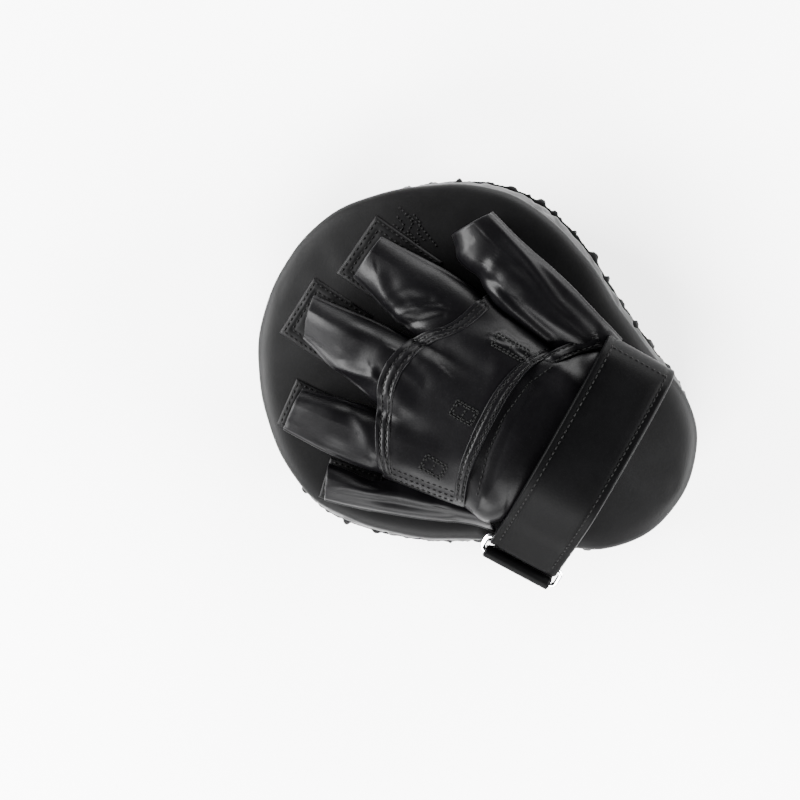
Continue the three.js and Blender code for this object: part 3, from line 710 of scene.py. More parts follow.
# Hand
def plan(across, along):
    return across * HALF_WIDTH, along * HALF_LENGTH


KNUCKLE_PATH = [
    (0.44, 0.15), (0.23, 0.205), (0.08, 0.3), (-0.06, 0.35),
    (-0.22, 0.35), (-0.37, 0.3), (-0.53, 0.235), (-0.67, 0.155),
]
HAND_SEAM_PATH = [
    (0.36, -0.215), (0.22, -0.145), (0.07, -0.122), (-0.1, -0.12),
    (-0.26, -0.125), (-0.42, -0.14), (-0.6, -0.19),
]
HAND_STOPS = np.linspace(0, 1, 240)
knuckle_line = catmull([plan(*row) for row in KNUCKLE_PATH], False, HAND_STOPS)
seam_line = catmull([plan(*row) for row in HAND_SEAM_PATH], False, HAND_STOPS)

# Dips between the fingers and soft dents: turn, along, spread and depth
WEB_DIPS = [(0.36, 0.05, 0.46), (0.67, 0.045, 0.44)]
HAND_DENTS = [(0.36, 0.5, 0.12, 0.1), (0.66, 0.62, 0.13, 0.09), (0.5, 0.28, 0.07, 0.05)]
HAND_SPAN = 62.0
HAND_FULLNESS = 0.62
HAND_SQUARE = 0.8
KNUCKLE_ROWS = (0.018, 0.085)
HAND_SEAM_ROWS = (0.915, 0.975)


def round_place(turn):
    return (1 - np.cos(np.pi * turn)) / 2


def hand_point(turn, along):
    """Plan place and lift over the back of the hand."""
    turn, along = np.broadcast_arrays(np.asarray(turn, float), np.asarray(along, float))
    edge = mix(turn, round_place(turn), 0.5)
    ends = [pick(edge, HAND_STOPS, line) for line in (knuckle_line, seam_line)]
    spot = mix(*ends, along[..., None])
    rise = mix(KNUCKLE_RISE, HAND_RISE, np.sin(np.clip(along, 0, 1) * math.pi / 2))
    share = np.clip(np.sin(np.pi * turn), 0, 1) ** (HAND_FULLNESS * HAND_SQUARE)
    near_root = np.clip(1 - along * 1.3, 0, 1) ** 2
    for place, spread, depth in WEB_DIPS:
        share = share * (1 - depth * np.exp(-((turn - place) / spread) ** 2) * near_root)
    for place, where, spread, depth in HAND_DENTS:
        away = np.hypot(turn - place, (along - where) * 0.5)
        share = share * (1 - depth * np.exp(-(away / spread) ** 2))
    return spot[..., 0], spot[..., 1], SIDE_SEAM_LIFT + (rise - SIDE_SEAM_LIFT) * share


def raised(points, depth):
    """Grid moved along its normals."""
    return points + grid_normals(points) * depth[:, :, None]


SOFT_WAVE, SOFT_WAVE_SIZE = 0.12, 26


def relieved(x, y, lift, folds, seed):
    """Leather over the pad with its folds and soft waves."""
    return raised(on_pad(x, y, lift), creases(x, y, folds) + SOFT_WAVE * ripple(x, y, SOFT_WAVE_SIZE, seed))


HAND_FOLDS = [
    ([(3.8, 38.5), (1.6, 29.7)], 7.0, 1.6),
    ([(6.4, 35.9), (8.8, 24.2), (7.3, 8.6), (9.1, -5.2)], 6.0, -0.9),
    ([(-0.4, 43.9), (5.3, 40.0), (15.3, 32.6)], 3.0, 0.8),
    ([(20.5, 18.9), (24.4, 3.4), (28.8, -11.9)], 6.0, 0.8),
    ([(-28.6, 33.0), (-22.2, 12.9), (-22.4, -4.9)], 10.0, -0.7),
    ([(-56.0, 26.7), (-55.4, 6.3), (-55.6, -14.7)], 6.0, 0.7),
    ([(-16.3, 42.8), (-28.1, 32.1), (-42.6, 26.4)], 6.0, 0.8),
    ([(-13.4, 46.2), (-11.2, 37.9), (-12.8, 30.0)], 3.0, 0.9),
    ([(19.4, -2.4), (9.1, -5.2), (-3.8, -6.4)], 5.0, 0.7),
    ([(23.4, 6.5), (24.6, -3.0), (23.6, -14.0)], 1.2, 0.6),
    ([(27.4, 4.5), (26.0, -5.0), (27.6, -14.5)], 1.2, 0.6),
    ([(29.8, 2.0), (28.4, -6.0), (29.6, -12.0)], 1.3, 0.5),
]


def hand_back():
    turn = np.linspace(0, 1, 131)[None, :]
    along = np.linspace(0, 1, 81)[:, None]
    x, y, lift = hand_point(turn, along)
    points = relieved(x, y, lift, HAND_FOLDS, 3)
    return shell("hand_back", points, PANEL_WALL, GLOVE_LEATHER, ["hand_panel"])


def strip(name, rows, node, grooves):
    """Sewn band over the hand between two places along it, with grooved rows and sunken ends."""
    turn = np.linspace(0.03, 0.97, 190)[None, :]
    along = np.linspace(rows[0], rows[1], 25)[:, None]
    end = smooth_step(0, 0.05, np.minimum(turn - 0.03, 0.97 - turn))
    x, y, lift = hand_point(turn, np.clip(along, 0, 1))
    before = np.clip(-along, 0, 1) * end
    lead_x, lead_y, _ = hand_point(turn, np.zeros_like(along) + 0.1)
    base_x, base_y, _ = hand_point(turn, np.zeros_like(along))
    x = x - (lead_x - base_x) * 10 * before
    y = y - (lead_y - base_y) * 10 * before
    crown = 0.25 * np.sin(np.linspace(0, math.pi, 25))[:, None] - BAND_END_SINK * (1 - end)
    crown = crown + 0.07 * ripple(x, y, 5, 12)
    for groove in grooves:
        crown = crown - 0.5 * np.exp(-(((along - groove) * HAND_SPAN) / 0.75) ** 2)
    points = relieved(x, y, lift + BAND_THICKNESS - BAND_SEAT + crown, HAND_FOLDS, 3)
    return shell(name, points, BAND_THICKNESS, GLOVE_LEATHER, [node])


# Sections of a sleeve, from one foot to the other: turn, place across and height.
# The pressed one keeps its fold edges high, over feet that are tucked in.
SLEEVE = [
    (0, 0.05, 0), (0.07, 0.012, 0.22), (0.13, 0, 0.42), (0.2, 0.05, 0.66), (0.3, 0.18, 0.87),
    (0.4, 0.34, 0.975), (0.5, 0.5, 1), (0.6, 0.66, 0.975),
    (0.7, 0.82, 0.87), (0.8, 0.95, 0.66), (0.87, 1, 0.42), (0.93, 0.988, 0.22), (1, 0.95, 0),
]
PRESSED = [
    (0, 0.1, 0), (0.07, 0.04, 0.4), (0.13, 0, 0.76), (0.2, 0.05, 0.87), (0.3, 0.18, 0.94),
    (0.4, 0.34, 0.98), (0.5, 0.5, 1), (0.6, 0.66, 0.98),
    (0.7, 0.82, 0.94), (0.8, 0.95, 0.87), (0.87, 1, 0.76), (0.93, 0.96, 0.4), (1, 0.9, 0),
]


SECTION_STOPS = np.linspace(0, 1, 400)


def section(rows, turn):
    dense = catmull([row[1:] for row in rows], False, SECTION_STOPS)
    stops = np.interp(SECTION_STOPS, np.linspace(0, 1, len(rows)), [row[0] for row in rows])
    return pick(turn, stops, dense).T


def sleeve(turn, fall_first, fall_last, press_first=0.0, press_last=0.0):
    """Place and height round a sleeve whose top falls away towards either side."""
    soft_place, soft_height = section(SLEEVE, turn)
    flat_place, flat_height = section(PRESSED, turn)
    press = np.where(turn < 0.5, press_first, press_last)
    place = mix(soft_place, flat_place, press)
    height = mix(soft_height, flat_height, press)
    first = fall_first * np.clip((0.65 - place) / 0.55, 0, 1)
    last = fall_last * np.clip((place - 0.35) / 0.55, 0, 1)
    return place, height * (1 - first - last)


def fold_edges(turn, height=0.8, spread=0.02):
    """Crisp folds along both sides of a sleeve."""
    return height * (np.exp(-((turn - 0.13) / spread) ** 2) + np.exp(-((turn - 0.87) / spread) ** 2))


# Finger stalls
# Fall is how far the top drops towards each side, and how pressed that side is
FINGERS = {
    "index": dict(
        tip=(0.3, 0.665), width=25.0, slant=-7.0, start=0.02, end=0.355,
        patch=37.0, shift=0.05, begin=0.42, fall=(0.05, 0.12, 0.8, 0.2),
    ),
    "middle": dict(
        tip=(-0.13, 0.765), width=23.0, slant=14.0, start=0.365, end=0.665,
        patch=35.0, shift=0.03, begin=0.45, fall=(0.0, 0.42, 0.4, 0.5),
    ),
    "ring": dict(
        tip=(-0.596, 0.632), width=23.0, slant=3.0, start=0.675, end=0.98,
        patch=27.0, shift=0.03, begin=0.5, fall=(0.0, 0.22, 0.2, 0.8),
    ),
}
# Spread and rise from the root to the tip
STALL_ROWS = [(0, 1), (0.08, 1.0), (0.11, 0.96), (0.08, 1.02), (0.03, 1.0), (0, 0.93)]
STALL_FOLDS = {
    "index": [
        ([(23.3, 73.1), (17.9, 67.7), (14.2, 60.3), (12.6, 53.5)], 3.6, 1.2),
        ([(12.6, 54.6), (19.4, 47.7), (24.7, 38.1)], 2.4, 1.2),
        ([(9.1, 49.1), (15.2, 42.3), (22.6, 34.5)], 2.2, -1.1),
        ([(18.0, 58.8), (22.9, 54.4), (26.1, 45.4)], 3.4, -0.9),
        ([(34.0, 79.6), (35.0, 56.3), (37.2, 30.7)], 11.0, 1.3),
    ],
    "middle": [
        ([(-12.0, 94.7), (-8.3, 77.1), (-5.7, 56.4)], 7.0, 1.6),
        ([(-27.1, 91.8), (-28.6, 71.8), (-23.3, 51.5)], 2.4, 1.3),
        ([(-34.5, 71.6), (-32.7, 57.6), (-27.7, 44.3)], 5.0, -1.6),
        ([(-20.1, 52.1), (-24.0, 46.3), (-29.4, 40.9)], 2.2, 1.0),
        ([(-24.2, 84.4), (-19.3, 68.0), (-14.1, 50.0)], 8.0, -0.5),
    ],
    "ring": [
        ([(-54.9, 80.5), (-46.1, 59.2), (-43.3, 38.0)], 6.0, 1.0),
        ([(-70.0, 77.5), (-69.2, 52.3), (-65.9, 29.1)], 2.2, 1.1),
        ([(-60.8, 74.9), (-56.6, 53.3), (-54.1, 33.8)], 6.0, -0.6),
        ([(-45.6, 48.6), (-50.4, 40.0), (-58.0, 32.2)], 3.0, 0.7),
    ],
}


def stall_edges(finger, turn):
    """Root arch, and tip place and height, of a stall."""
    rx, ry, rl = hand_point(mix(finger["start"], finger["end"], round_place(turn)), 0.07)
    root = (rx, ry, FOOT_LIFT + (rl - 1.9 - FOOT_LIFT) * np.clip(np.sin(np.pi * turn), 0, 1) ** 0.3)
    place, height = sleeve(turn, *finger["fall"])
    tx, ty = plan(*finger["tip"])
    slant = math.radians(finger["slant"])
    reach = finger["width"] * (0.5 - place)
    top = FOOT_LIFT + (STALL_RISE - FOOT_LIFT) * height
    tip = (tx + math.cos(slant) * reach, ty + math.sin(slant) * reach, top)
    return root, tip


def finger_stall(name):
    finger = FINGERS[name]
    turn = np.linspace(0, 1, 97)
    along = np.linspace(0, 1, 71)
    root, tip = stall_edges(finger, turn)
    centre_root, centre_tip = stall_edges(finger, np.array([0.5]))
    spread, rise = soft(STALL_ROWS, along)
    s = along[:, None]
    x = mix(root[0][None, :], tip[0][None, :], s)
    y = mix(root[1][None, :], tip[1][None, :], s)
    x = x + (x - mix(centre_root[0][0], centre_tip[0][0], s)) * spread
    lift = FOOT_LIFT + (mix(root[2][None, :], tip[2][None, :], s) - FOOT_LIFT) * rise
    weight = np.clip(np.sin(np.pi * turn), 0, 1)[None, :] ** 0.4
    depth = creases(x, y, STALL_FOLDS[name]) * weight + fold_edges(turn)[None, :] * smooth_step(0.05, 0.4, s)
    points = raised(on_pad(x, y, lift), depth + 0.1 * ripple(x, y, 24, 5) * weight)
    node = f"stall_{name}"
    return shell(f"{name}_stall", points, STALL_WALL, GLOVE_LEATHER, [node])


# Place by the hand, or a share along the side of the hand with None, then outer place, seam and rise
PINKY_ROWS = [
    (-0.757, 0.386, -0.93, 0.33, 0, 0.9), (-0.735, 0.29, -0.893, 0.235, 0.05, 0.98),
    (-0.712, 0.19, -0.853, 0.14, 0.35, 1.02), (0.16, None, -0.81, 0.04, 1, 1.04),
    (0.55, None, -0.762, -0.06, 1, 1), (0.97, None, -0.665, -0.245, 1, 0.95),
    (-0.583, -0.295, -0.635, -0.352, 0.8, 0.9),
]
THUMB_ROWS = [
    (0.62, 0.398, 0.815, 0.3, 0, 0.8), (0.515, 0.305, 0.775, 0.2, 0.05, 0.92),
    (0.49, 0.2, 0.74, 0.08, 0.3, 1), (0.1, None, 0.705, -0.04, 0.8, 1.04),
    (0.5, None, 0.665, -0.16, 1, 1.02), (0.96, None, 0.61, -0.3, 1, 0.98),
    (0.4, -0.31, 0.588, -0.36, 1, 1.0), (0.43, -0.385, 0.565, -0.415, 1, 0.92),
]
PINKY_FOLDS = [
    ([(-84.4, 42.1), (-75.7, 18.8), (-68.1, -6.8)], 4.0, 0.9),
    ([(-91.6, 41.1), (-80.8, 10.1), (-69.9, -20.1)], 2.2, 1.0),
    ([(-85.0, 34.6), (-75.2, 7.2), (-67.7, -15.7)], 3.0, -0.7),
]
THUMB_FOLDS = [
    ([(78.9, 36.6), (68.9, 9.6), (58.2, -14.1), (52.7, -36.3)], 2.4, 1.1),
    ([(57.3, 19.9), (58.2, 9.7), (53.5, -7.8), (47.8, -31.8)], 5.0, 1.5),
    ([(48.3, -0.6), (47.0, -17.4), (47.1, -37.0)], 4.0, 1.2),
    ([(67.2, 26.6), (61.1, 5.4), (51.8, -20.7)], 6.0, -1.1),
    ([(49.2, 23.7), (58.2, 24.6)], 3.0, 1.0),
    ([(48.9, 41.4), (54.4, 42.1), (58.0, 41.1)], 3.0, 1.1),
    ([(46.4, 39.5), (47.6, 27.6), (46.5, 15.7), (43.0, 4.8), (38.0, -19.4)], 2.2, 1.3),
    ([(65.6, 43.5), (62.7, 33.6), (57.5, 25.9)], 7.0, -0.6),
]


def side_stall(name, rows, height, outward_sign, foot, folds, node, fall, flat):
    """Stall of the little finger or the thumb, sewn to the side of the hand along its root."""
    table = []
    for hx, hy, ox, oy, seam, rise in rows:
        if hy is None:
            x, y, _ = hand_point(0.0 if outward_sign > 0 else 1.0, hx)
            hand = (float(x) - outward_sign * 2.0, float(y))
        else:
            hand = plan(hx, hy)
        table.append((*hand, *plan(ox, oy), seam, rise))
    turn = np.linspace(0, 1, 97)
    hx, hy, ox, oy, seam, rise = soft(table, np.linspace(0, 1, 91))
    place, high = sleeve(turn, *fall)
    sewn = np.clip(seam, 0, 1)
    near = np.clip(1 - turn / 0.4, 0, 1)[None, :] * sewn * flat
    place = place[None, :] * (1 - near) + np.maximum(turn[None, :] * 0.8 - 0.02, 0) * near
    x, y = mix(hx, ox, place), mix(hy, oy, place)
    base = mix(mix(foot, SIDE_SEAM_LIFT - 1.4, sewn), foot, np.clip(place, 0, 1))
    top = mix(height * rise, SIDE_SEAM_LIFT + 0.8, sewn * flat)
    lift = base + np.maximum(top - base, 0) * high[None, :]
    weight = np.clip(np.sin(np.pi * turn), 0, 1)[None, :] ** 0.4
    edge = fold_edges(turn)[None, :] * (1 - sewn * (turn < 0.5)[None, :])
    depth = creases(x, y, folds) * weight + edge + 0.1 * ripple(x, y, 24, 8) * weight
    points = raised(on_pad(x, y, lift), depth)
    return shell(name, points, STALL_WALL, GLOVE_LEATHER, [node])


# Patches
PATCH_SHEET = 0.9
PATCH_ROWS = (1.7, 5.2)


def patch_frame(name):
    """Middle of the patch's root end, its two directions, its length and its half width."""
    if name == "pinky":
        tip, root = plan(-0.843, 0.358), plan(-0.77, 0.1)
        width, begin, shift = 22.0, 0.2, 0.03
    else:
        finger = FINGERS[name]
        rx, ry, _ = hand_point(mix(finger["start"], finger["end"], 0.5), 0.0)
        tip, root = plan(*finger["tip"]), (float(rx), float(ry) + SEW_GAP)
        width, begin, shift = finger["patch"], finger["begin"], finger["shift"]
    length = math.hypot(tip[0] - root[0], tip[1] - root[1])
    ahead = np.array([(tip[0] - root[0]) / length, (tip[1] - root[1]) / length])
    across = np.array([ahead[1], -ahead[0]])
    start = np.array(root) + ahead * begin * length + across * shift * width
    return start, ahead, across, length * (1 - begin) + PATCH_MARGIN[name], width / 2


def patch(name):
    start, ahead, across, length, half = patch_frame(name)
    u = np.linspace(0, 1, 41)[:, None]
    v = np.linspace(-1, 1, 33)[None, :]
    x = start[0] + ahead[0] * u * length + across[0] * v * half
    y = start[1] + ahead[1] * u * length + across[1] * v * half
    edge = np.minimum(np.minimum(u, 1 - u) * length, (1 - np.abs(v)) * half)
    lift = 0.95 + 0.55 * smooth_step(0, 1.6, edge) + 0.12 * ripple(x, y, 8, 4)
    for inset, spread in zip(PATCH_ROWS, (0.7, 0.8)):
        lift = lift - 0.35 * np.exp(-((edge - inset) / spread) ** 2)
    node = f"patch_{name}"
    return shell(f"{name}_patch", on_pad(x, y, lift), PATCH_SHEET, PAD_LEATHER, [node])


def patch_rows(name):
    start, ahead, across, length, half = patch_frame(name)
    paths = []
    for inset in PATCH_ROWS:
        low, high, side = inset, length - inset, half - inset
        corners = [(low, side), (high, side), (high, -side), (low, -side)]
        spots = [start + ahead * a + across * b for a, b in corners]
        for a, b in zip(spots, spots[1:]):
            paths.append([tuple(mix(a, b, t)) for t in np.linspace(0, 1, 8)])
    return paths


# Cuff
# Place at the thumb side, place at the little finger's side, seam and rise
CUFF_ROWS = [
    (0.43, -0.3, -0.6, -0.235, 1, 0.95), (0.49, -0.36, -0.6, -0.315, 0.7, 0.96),
    (0.475, -0.43, -0.53, -0.4, 0.1, 0.97), (0.455, -0.52, -0.455, -0.5, 0, 0.98),
    (0.445, -0.595, -0.42, -0.585, 0, 1), (0.435, -0.665, -0.39, -0.665, 0, 1),
]
CUFF_FOLDS = [
    ([(31.9, -30.7), (17.8, -23.2), (-7.3, -21.3), (-27.8, -23.5), (-48.4, -29.4)], 1.6, 0.6),
    ([(25.4, -22.1), (28.2, -32.4), (24.9, -47.7)], 5.0, 1.3),
    ([(16.3, -18.4), (15.0, -30.9), (11.5, -44.6)], 6.0, -1.0),
    ([(-2.5, -14.1), (-12.2, -28.3), (-31.4, -36.1)], 10.0, 0.7),
    ([(-44.3, -21.8), (-51.4, -33.1), (-63.8, -35.8)], 5.0, 0.8),
]


def cuff():
    turn = np.linspace(0, 1, 121)
    hx, hy, hl = hand_point(turn, 1.0)
    first_count = 14
    tx, ty, px, py, seam, rise = soft(CUFF_ROWS, np.linspace(0, 1, 91 - first_count))
    place = round_place(turn)[None, :]
    x, y = mix(tx, px, place) * HALF_WIDTH, mix(ty, py, place) * HALF_LENGTH
    base = mix(SEAT_GAP, SIDE_SEAM_LIFT, np.clip(seam, 0, 1))
    height = np.clip(np.sin(np.pi * turn), 0, 1)[None, :] ** HAND_FULLNESS
    lift = base + (CUFF_RISE * rise - base) * height
    blend = np.linspace(0, 1, first_count, endpoint=False)[:, None]
    x = np.vstack([mix(hx[None, :], x[:1], blend), x])
    y = np.vstack([mix(hy[None, :] + 1.2, y[:1], blend), y])
    lift = np.vstack([mix(hl[None, :] - 2.1, lift[:1], blend), lift])
    points = relieved(x, y, lift, CUFF_FOLDS, 6)
    return shell("cuff", points, PANEL_WALL, GLOVE_LEATHER, ["cuff_panel"])


# Strap, ring and tab
STRAP_ROWS = [
    (0.55, 0.5), (0.54, 0.78), (0.475, 1.01), (0.34, 1.13), (0.1, 1.17),
    (-0.14, 1.15), (-0.32, 1.05), (-0.46, 0.82), (-0.56, 0.58),
]
FOLD_TURN = 131.0
FOLD_RADIUS = RING_WIRE / 2 + FIT_GAP + STRAP_THICKNESS / 2


def strap_line():
    """Middle line of the strap across the wrist, as x and lift, round the ring and back under itself."""
    rows = [(across * HALF_WIDTH, lift * CUFF_RISE) for across, lift in STRAP_ROWS]
    turn = math.radians(FOLD_TURN)
    rows.append((RING_X + math.cos(turn) * FOLD_RADIUS, RING_LIFT + math.sin(turn) * FOLD_RADIUS))
    top = even(catmull(rows, False, np.linspace(0, 1, 400)), 130)
    fold = []
    for i in range(1, 13):
        angle = turn + math.pi * i / 12
        fold.append((RING_X + math.cos(angle) * FOLD_RADIUS, RING_LIFT + math.sin(angle) * FOLD_RADIUS))
    tangent = headings(top)
    inward = np.stack([-tangent[:, 1], tangent[:, 0]], axis=1)
    steps = (len(top) - 1 - np.arange(len(top))) / 20
    depth = mix(FOLD_RADIUS * 2, STRAP_THICKNESS + STRAP_LAYER_GAP, np.clip(steps, 0, 1))
    lower = (top + inward * depth[:, None])[-3:2:-1]
    foot = [(lower[-1][0], FOOT_LIFT + STALL_WALL)]
    return even(np.vstack([top, fold, lower, foot]), 300)


def none(y, line):
    return 0


def line_sheet(name, line, thickness, width, count, node, shift=none, crown=none):
    """Sheet of strap leather along a line of x and lift, across a width in y."""
    tangent = headings(line)
    y = STRAP_Y + width * np.linspace(0.5, -0.5, count)[:, None]
    sheets = []
    for offset in (thickness / 2 + crown(y, line), -thickness / 2):
        x = line[None, :, 0] + tangent[None, :, 1] * offset + shift(y, line) + 0 * y
        lift = line[None, :, 1] - tangent[None, :, 0] * offset + 0 * y
        sheets.append(over(x, y + 0 * x, PAD_TOP + lift))
    outer, inner = sheets
    wall = np.linalg.norm(outer - inner, axis=2)
    normals = (outer - inner) / wall[:, :, None]
    return shell(name, outer, wall, STRAP_LEATHER, [node], normals=normals)


def strap():
    def crown(y, path):
        edge = STRAP_WIDTH / 2 - np.abs(y - STRAP_Y)
        sewn = -0.35 * np.exp(-((edge - STRAP_ROW_INSET) / 1.0) ** 2)
        soft_wave = 0.12 * ripple(path[None, :, 0], y, 30, 9)
        return sewn + soft_wave + 0.25 * smooth_step(3, 9, edge) + 0 * path[None, :, 0]

    return line_sheet("strap", strap_line(), STRAP_THICKNESS, STRAP_WIDTH, 49, "wrist_strap", crown=crown)


def ring():
    length, width = RING_INSIDE_LENGTH + RING_WIRE, RING_INSIDE_WIDTH + RING_WIRE
    corner = RING_WIRE * 0.8
    centre_x = RING_X - width / 2
    spots, ways = [], []
    for sx, sy, start in ((1, 1, 0), (-1, 1, 90), (-1, -1, 180), (1, -1, 270)):
        for share in np.linspace(0, 1, 7):
            angle = math.radians(start + 90 * share)
            way = np.array([math.cos(angle), math.sin(angle)])
            spots.append(np.array([sx * (width / 2 - corner), sy * (length / 2 - corner)]) + way * corner)
            ways.append(way)
        if sx * sy < 0:
            for share in np.linspace(0.85, -0.85, 9):
                spots.append(np.array([sx * width / 2, sy * share * (length / 2 - corner)]))
                ways.append(np.array([float(sx), 0.0]))
    spots, ways = np.array(spots), np.array(ways)
    rings = []
    for angle in np.linspace(0, 2 * math.pi, 20, endpoint=False):
        x = centre_x + spots[:, 0] + ways[:, 0] * math.cos(angle) * RING_WIRE / 2
        y = STRAP_Y + spots[:, 1] + ways[:, 1] * math.cos(angle) * RING_WIRE / 2
        lift = RING_LIFT + RING_TILT * (spots[:, 0] - width / 2) / width + math.sin(angle) * RING_WIRE / 2
        rings.append(over(x, y, PAD_TOP + lift))
    return rings_object("wire_ring", rings, METAL, ["strap_ring"], poles=False)


def tab():
    radius = RING_WIRE / 2 + SEAT_GAP + TAB_THICKNESS / 2
    bar_lift = RING_LIFT - RING_TILT
    seam_lift = BACK_LOW - PAD_TOP - 2
    leg = TAB_THICKNESS / 2 + FIT_GAP
    line = [(leg, seam_lift)]
    for angle in np.radians(np.linspace(-45, 225, 20)):
        line.append((math.cos(angle) * radius, bar_lift + math.sin(angle) * radius))
    line.append((-leg, seam_lift))
    line = np.array(line)
    outer_bar = RING_X - RING_INSIDE_WIDTH - RING_WIRE
    bar_share = np.concatenate([[0], np.ones(20), [0]])
    dense = np.linspace(0, len(line) - 1, 120)
    path = pick(dense, np.arange(len(line)), line)
    share = np.interp(dense, np.arange(len(line)), bar_share)
    along, half = np.array(OUTLINE[::-1]).T

    def shift(y, _):
        edge = -(np.interp(y / HALF_LENGTH, along, half) * HALF_WIDTH + TAB_THICKNESS + FIT_GAP)
        return mix(edge, outer_bar, share[None, :])

    return line_sheet("tab", path, TAB_THICKNESS, TAB_WIDTH, 31, "ring_tab", shift=shift)


THUMB_SEAM_PATH = [(27.3, -23.9), (34.2, -27.8), (40.7, -33.1), (46.8, -38.7), (53.7, -44.6)]
THUMB_SEAM_HALF = 3.2
THUMB_SEAM_STEP = 0.55
THUMB_SEAM_ROW = 0.62
# Cells that the band spans over a hollow, across and then along
THUMB_SEAM_SPANS = (9, 8)


def beside(path, offset):
    """Plan path moved to its left."""
    ahead = headings(path)
    return path + np.stack([-ahead[:, 1], ahead[:, 0]], axis=1) * offset


def thumb_seam(tree):
    """Band that carries the hand seam over the root of the thumb to the strap, tight over its hollow."""
    path = catmull(THUMB_SEAM_PATH, False, np.linspace(0, 1, 200))
    length = np.linalg.norm(np.diff(path, axis=0), axis=1).sum()
    path = even(path, int(length / THUMB_SEAM_STEP))
    offset = np.linspace(-1, 1, 15)[:, None]
    spots = np.array([beside(path, share * THUMB_SEAM_HALF) for share in offset[:, 0]])
    x, y = spots[..., 0], spots[..., 1]
    height = np.zeros(x.shape)
    for r, c in np.ndindex(*x.shape):
        hit, _ = below(tree, x[r, c], y[r, c])
        height[r, c] = 0 if hit is None else hit.z / MM
    for axis, reach in enumerate(THUMB_SEAM_SPANS):
        cells = np.arange(height.shape[axis])
        near = [np.clip(cells + k, 0, cells[-1]) for k in range(-reach, reach + 1)]
        wide = np.max([np.take(height, places, axis) for places in near], axis=0)
        height = np.mean([np.take(wide, places, axis) for places in near], axis=0)
    share = np.linspace(0, 1, x.shape[1])[None, :]
    end = smooth_step(0, 0.16, np.minimum(share, 1 - share))
    groove = 0.45 * np.exp(-((np.abs(offset) - THUMB_SEAM_ROW) / 0.18) ** 2)
    crown = 0.3 * (1 - offset ** 2) - groove - 1.6 * (1 - end)
    height = height - 1.0 + crown + 0.1 * ripple(x, y, 5, 31)
    points = np.stack([x, y + SHIFT_Y, height], axis=2)
    return shell("thumb_seam", points, BAND_THICKNESS, GLOVE_LEATHER)


# Assembly
striking_face()
back = back_face()
gusset()
gathered_seam()
patches = {name: patch(name) for name in ("index", "middle", "ring", "pinky")}
stalls = {name: finger_stall(name) for name in FINGERS}
stalls["pinky"] = side_stall(
    "pinky_stall", PINKY_ROWS, PINKY_RISE, -1, FOOT_LIFT, PINKY_FOLDS, "stall_pinky",
    fall=(0.0, 0.25, 0.3, 0.5), flat=1.0,
)
stalls["thumb"] = side_stall(
    "thumb_stall", THUMB_ROWS, THUMB_RISE, 1, SEAT_GAP, THUMB_FOLDS, "stall_thumb",
    fall=(0.1, 0.0, 0.0, 1.0), flat=0.0,
)
hand = hand_back()
knuckle = strip("knuckle_strip", (-0.035, BAND_WIDTH / HAND_SPAN), "knuckle_band", KNUCKLE_ROWS)
wrist_seam = strip("wrist_seam", (1 - BAND_WIDTH / HAND_SPAN, 1.0), "hand_seam", HAND_SEAM_ROWS)
cuff_leather = cuff()
thumb_band = thumb_seam(surface_tree(hand, wrist_seam, cuff_leather, stalls["thumb"]))
strap_leather = strap()
ring()
tab()


# Sewing
def hand_row(along, start=0.05, end=0.95):
    turn = np.linspace(start, end, 60)
    x, y, _ = hand_point(turn, along)
    return list(zip(x.tolist(), y.tolist()))


def tack_box(cx, cy, length=12.5, width=8.5):
    """Sewn box with a second row inside and a bar across."""
    paths = [[(cx - width / 2, cy), (cx + width / 2, cy)]]
    for inset in (0.0, 1.15):
        half_l, half_w = length / 2 - inset, width / 2 - inset
        signs = ((-1, -1), (1, -1), (1, 1), (-1, 1), (-1, -1))
        corners = [(cx + i * half_w, cy + j * half_l) for i, j in signs]
        paths += [[a, b] for a, b in zip(corners, corners[1:])]
    return paths


for name, piece in patches.items():
    sew(f"{name}_patch_stitches", patch_rows(name), piece)
pad_rows = [
    [(56.7, 82.7), (54.1, 76.4), (48.6, 76.4), (46.6, 69.2), (41.3, 68.7)],
    [(60.1, 79.7), (57.8, 73.0), (52.3, 73.0), (50.3, 65.8), (44.6, 65.1)],
    [(62.0, 75.3), (59.4, 69.0), (54.2, 68.6), (52.3, 62.1)],
    [(51.9, 82.5), (50.6, 69.6), (45.5, 54.7)],
    [(61.4, 84.1), (58.2, 69.0), (52.6, 55.0)],
    [(39.1, 66.3), (45.1, 64.2), (41.6, 57.4)],
    [(45.5, 83.2), (42.3, 69.3), (37.8, 57.7)],
]
sew("thumb_patch_stitches", pad_rows, back, pitch=2.3, length=1.9, radius=0.46)
knuckle_rows = [hand_row(row) for row in KNUCKLE_ROWS]
sew("knuckle_stitches", knuckle_rows, knuckle)
seam_rows = [hand_row(row) for row in HAND_SEAM_ROWS]
sew("hand_seam_stitches", seam_rows, wrist_seam)
thumb_line = catmull(THUMB_SEAM_PATH, False, np.linspace(0.04, 0.96, 40))
thumb_rows = [beside(thumb_line, way * THUMB_SEAM_ROW * THUMB_SEAM_HALF).tolist() for way in (-1, 1)]
sew("thumb_seam_stitches", thumb_rows, thumb_band)
boxes = tack_box(25.5, -4.5, 19.0, 7.0) + tack_box(-15, 0) + tack_box(-47.5, 0)
edge_rows = []
for turn in (0.895, 0.93, 0.965):
    x, y, _ = hand_point(turn, np.linspace(0.12, 0.88, 30))
    edge_rows.append(list(zip(x.tolist(), y.tolist())))
sew("tack_stitches", boxes, hand, pitch=2.1, length=1.95, radius=0.5)
sew("hand_stitches", edge_rows, hand)
cuff_row = [(28.1, -28.1), (14.5, -21.6), (-7.6, -18.6), (-28.2, -20.7), (-49.9, -26.7)]
sew("cuff_stitches", [cuff_row], cuff_leather)
strap_reach = STRAP_WIDTH / 2 - STRAP_ROW_INSET
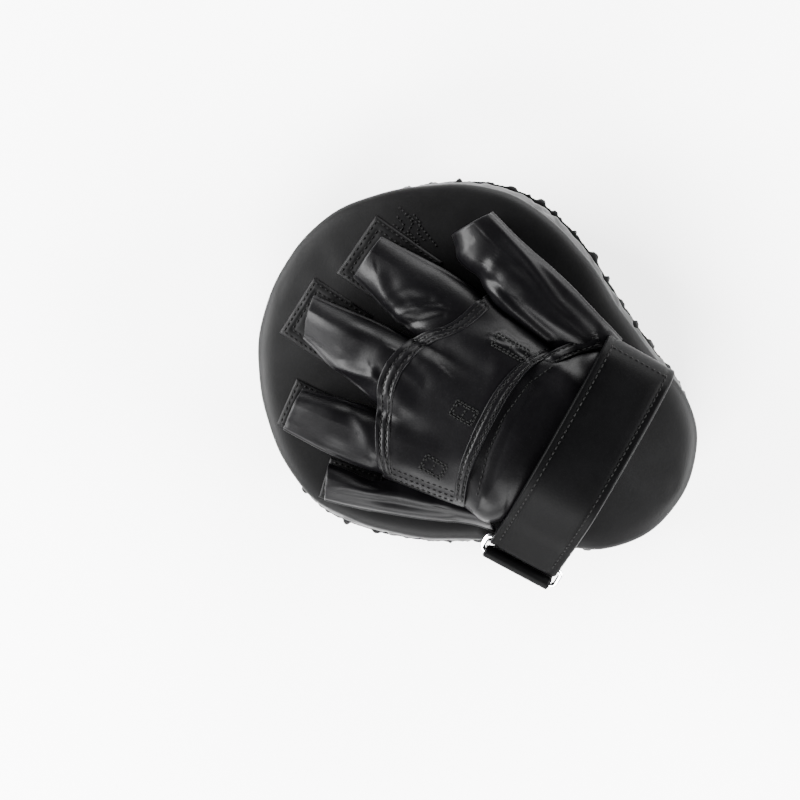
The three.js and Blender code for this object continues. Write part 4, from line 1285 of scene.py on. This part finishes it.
strap_low, strap_high = STRAP_Y - strap_reach, STRAP_Y + strap_reach
strap_rows = [[(t, y) for t in np.linspace(52, -66, 40)] for y in (strap_high, strap_low)]
strap_rows.append([(51.0, t) for t in np.linspace(strap_low, strap_high, 12)])
sew("strap_stitches", strap_rows, strap_leather)


# Stage: lights as name, place, size and power
LIGHT_AIM = (0, 0, 0.03)
LIGHTS = [
    ("thumb_side", (1.75, 0.1, 0.5), (1.6, 0.8), 150),
    ("ring_side", (-1.25, -0.35, 0.8), (1.3, 0.8), 145),
    ("finger_side", (-0.6, 1.55, 0.6), (1.7, 0.8), 360),
    ("wrist_side", (0.5, -1.6, 0.5), (1.7, 0.7), 300),
]
FLOOR_HALF = 40.0


def area_light(name, place, size, power):
    data = bpy.data.lights.new(name, "AREA")
    data.shape = "RECTANGLE"
    data.size, data.size_y = size
    data.energy = power
    obj = bpy.data.objects.new(name, data)
    obj.location = place
    obj.rotation_euler = (Vector(LIGHT_AIM) - Vector(place)).to_track_quat("-Z", "Y").to_euler()
    bpy.context.scene.collection.objects.link(obj)


def floor():
    corners = [(x * FLOOR_HALF, y * FLOOR_HALF, 0) for x, y in ((-1, -1), (1, -1), (1, 1), (-1, 1))]
    mesh = bpy.data.meshes.new("floor")
    mesh.from_pydata(corners, [], [(0, 1, 2, 3)])
    obj = bpy.data.objects.new("floor", mesh)
    bpy.context.scene.collection.objects.link(obj)
    surface = Surface("floor_white")
    colour = surface.ramp(surface.noise(3, 2), (0.94,) * 3, (0.96,) * 3)
    obj.data.materials.append(surface.dress(Base_Color=colour, Roughness=0.9))


floor()
world = bpy.data.worlds.new("studio")
world.use_nodes = True
world.node_tree.nodes["Background"].inputs["Color"].default_value = (1, 1, 1, 1)
world.node_tree.nodes["Background"].inputs["Strength"].default_value = 0.12
bpy.context.scene.world = world
for light in LIGHTS:
    area_light(*light)


# Camera over the mitt, turned as in the photograph and tipped a little to the thumb side
AIM_MM = (-28.6, 33.0, 50.0)
FIELD_MM = 440.0
LENS_REACH_MM = 900.0
CAMERA_LEVEL_MM = 930
PICTURE_TURN = -61.0
TIP_DEG = 5.0
TIP_WAY = (0.918, -0.396)
camera_data = bpy.data.cameras.new("camera")
camera_data.sensor_fit = "HORIZONTAL"
camera_data.sensor_width = 36
camera_data.lens = 18 / (FIELD_MM / 2 / LENS_REACH_MM)
camera = bpy.data.objects.new("camera", camera_data)
tip, turn = math.radians(TIP_DEG), math.radians(PICTURE_TURN)
view = Vector((TIP_WAY[0] * math.sin(tip), TIP_WAY[1] * math.sin(tip), math.cos(tip)))
picture_right = Vector((-math.sin(turn), math.cos(turn), 0)).cross(view).normalized()
pose = Matrix((picture_right, view.cross(picture_right), view)).transposed().to_4x4()
pose.translation = (Vector(AIM_MM) + view * (CAMERA_LEVEL_MM - AIM_MM[2])) * MM
camera.matrix_world = pose
bpy.context.scene.collection.objects.link(camera)
bpy.context.scene.camera = camera
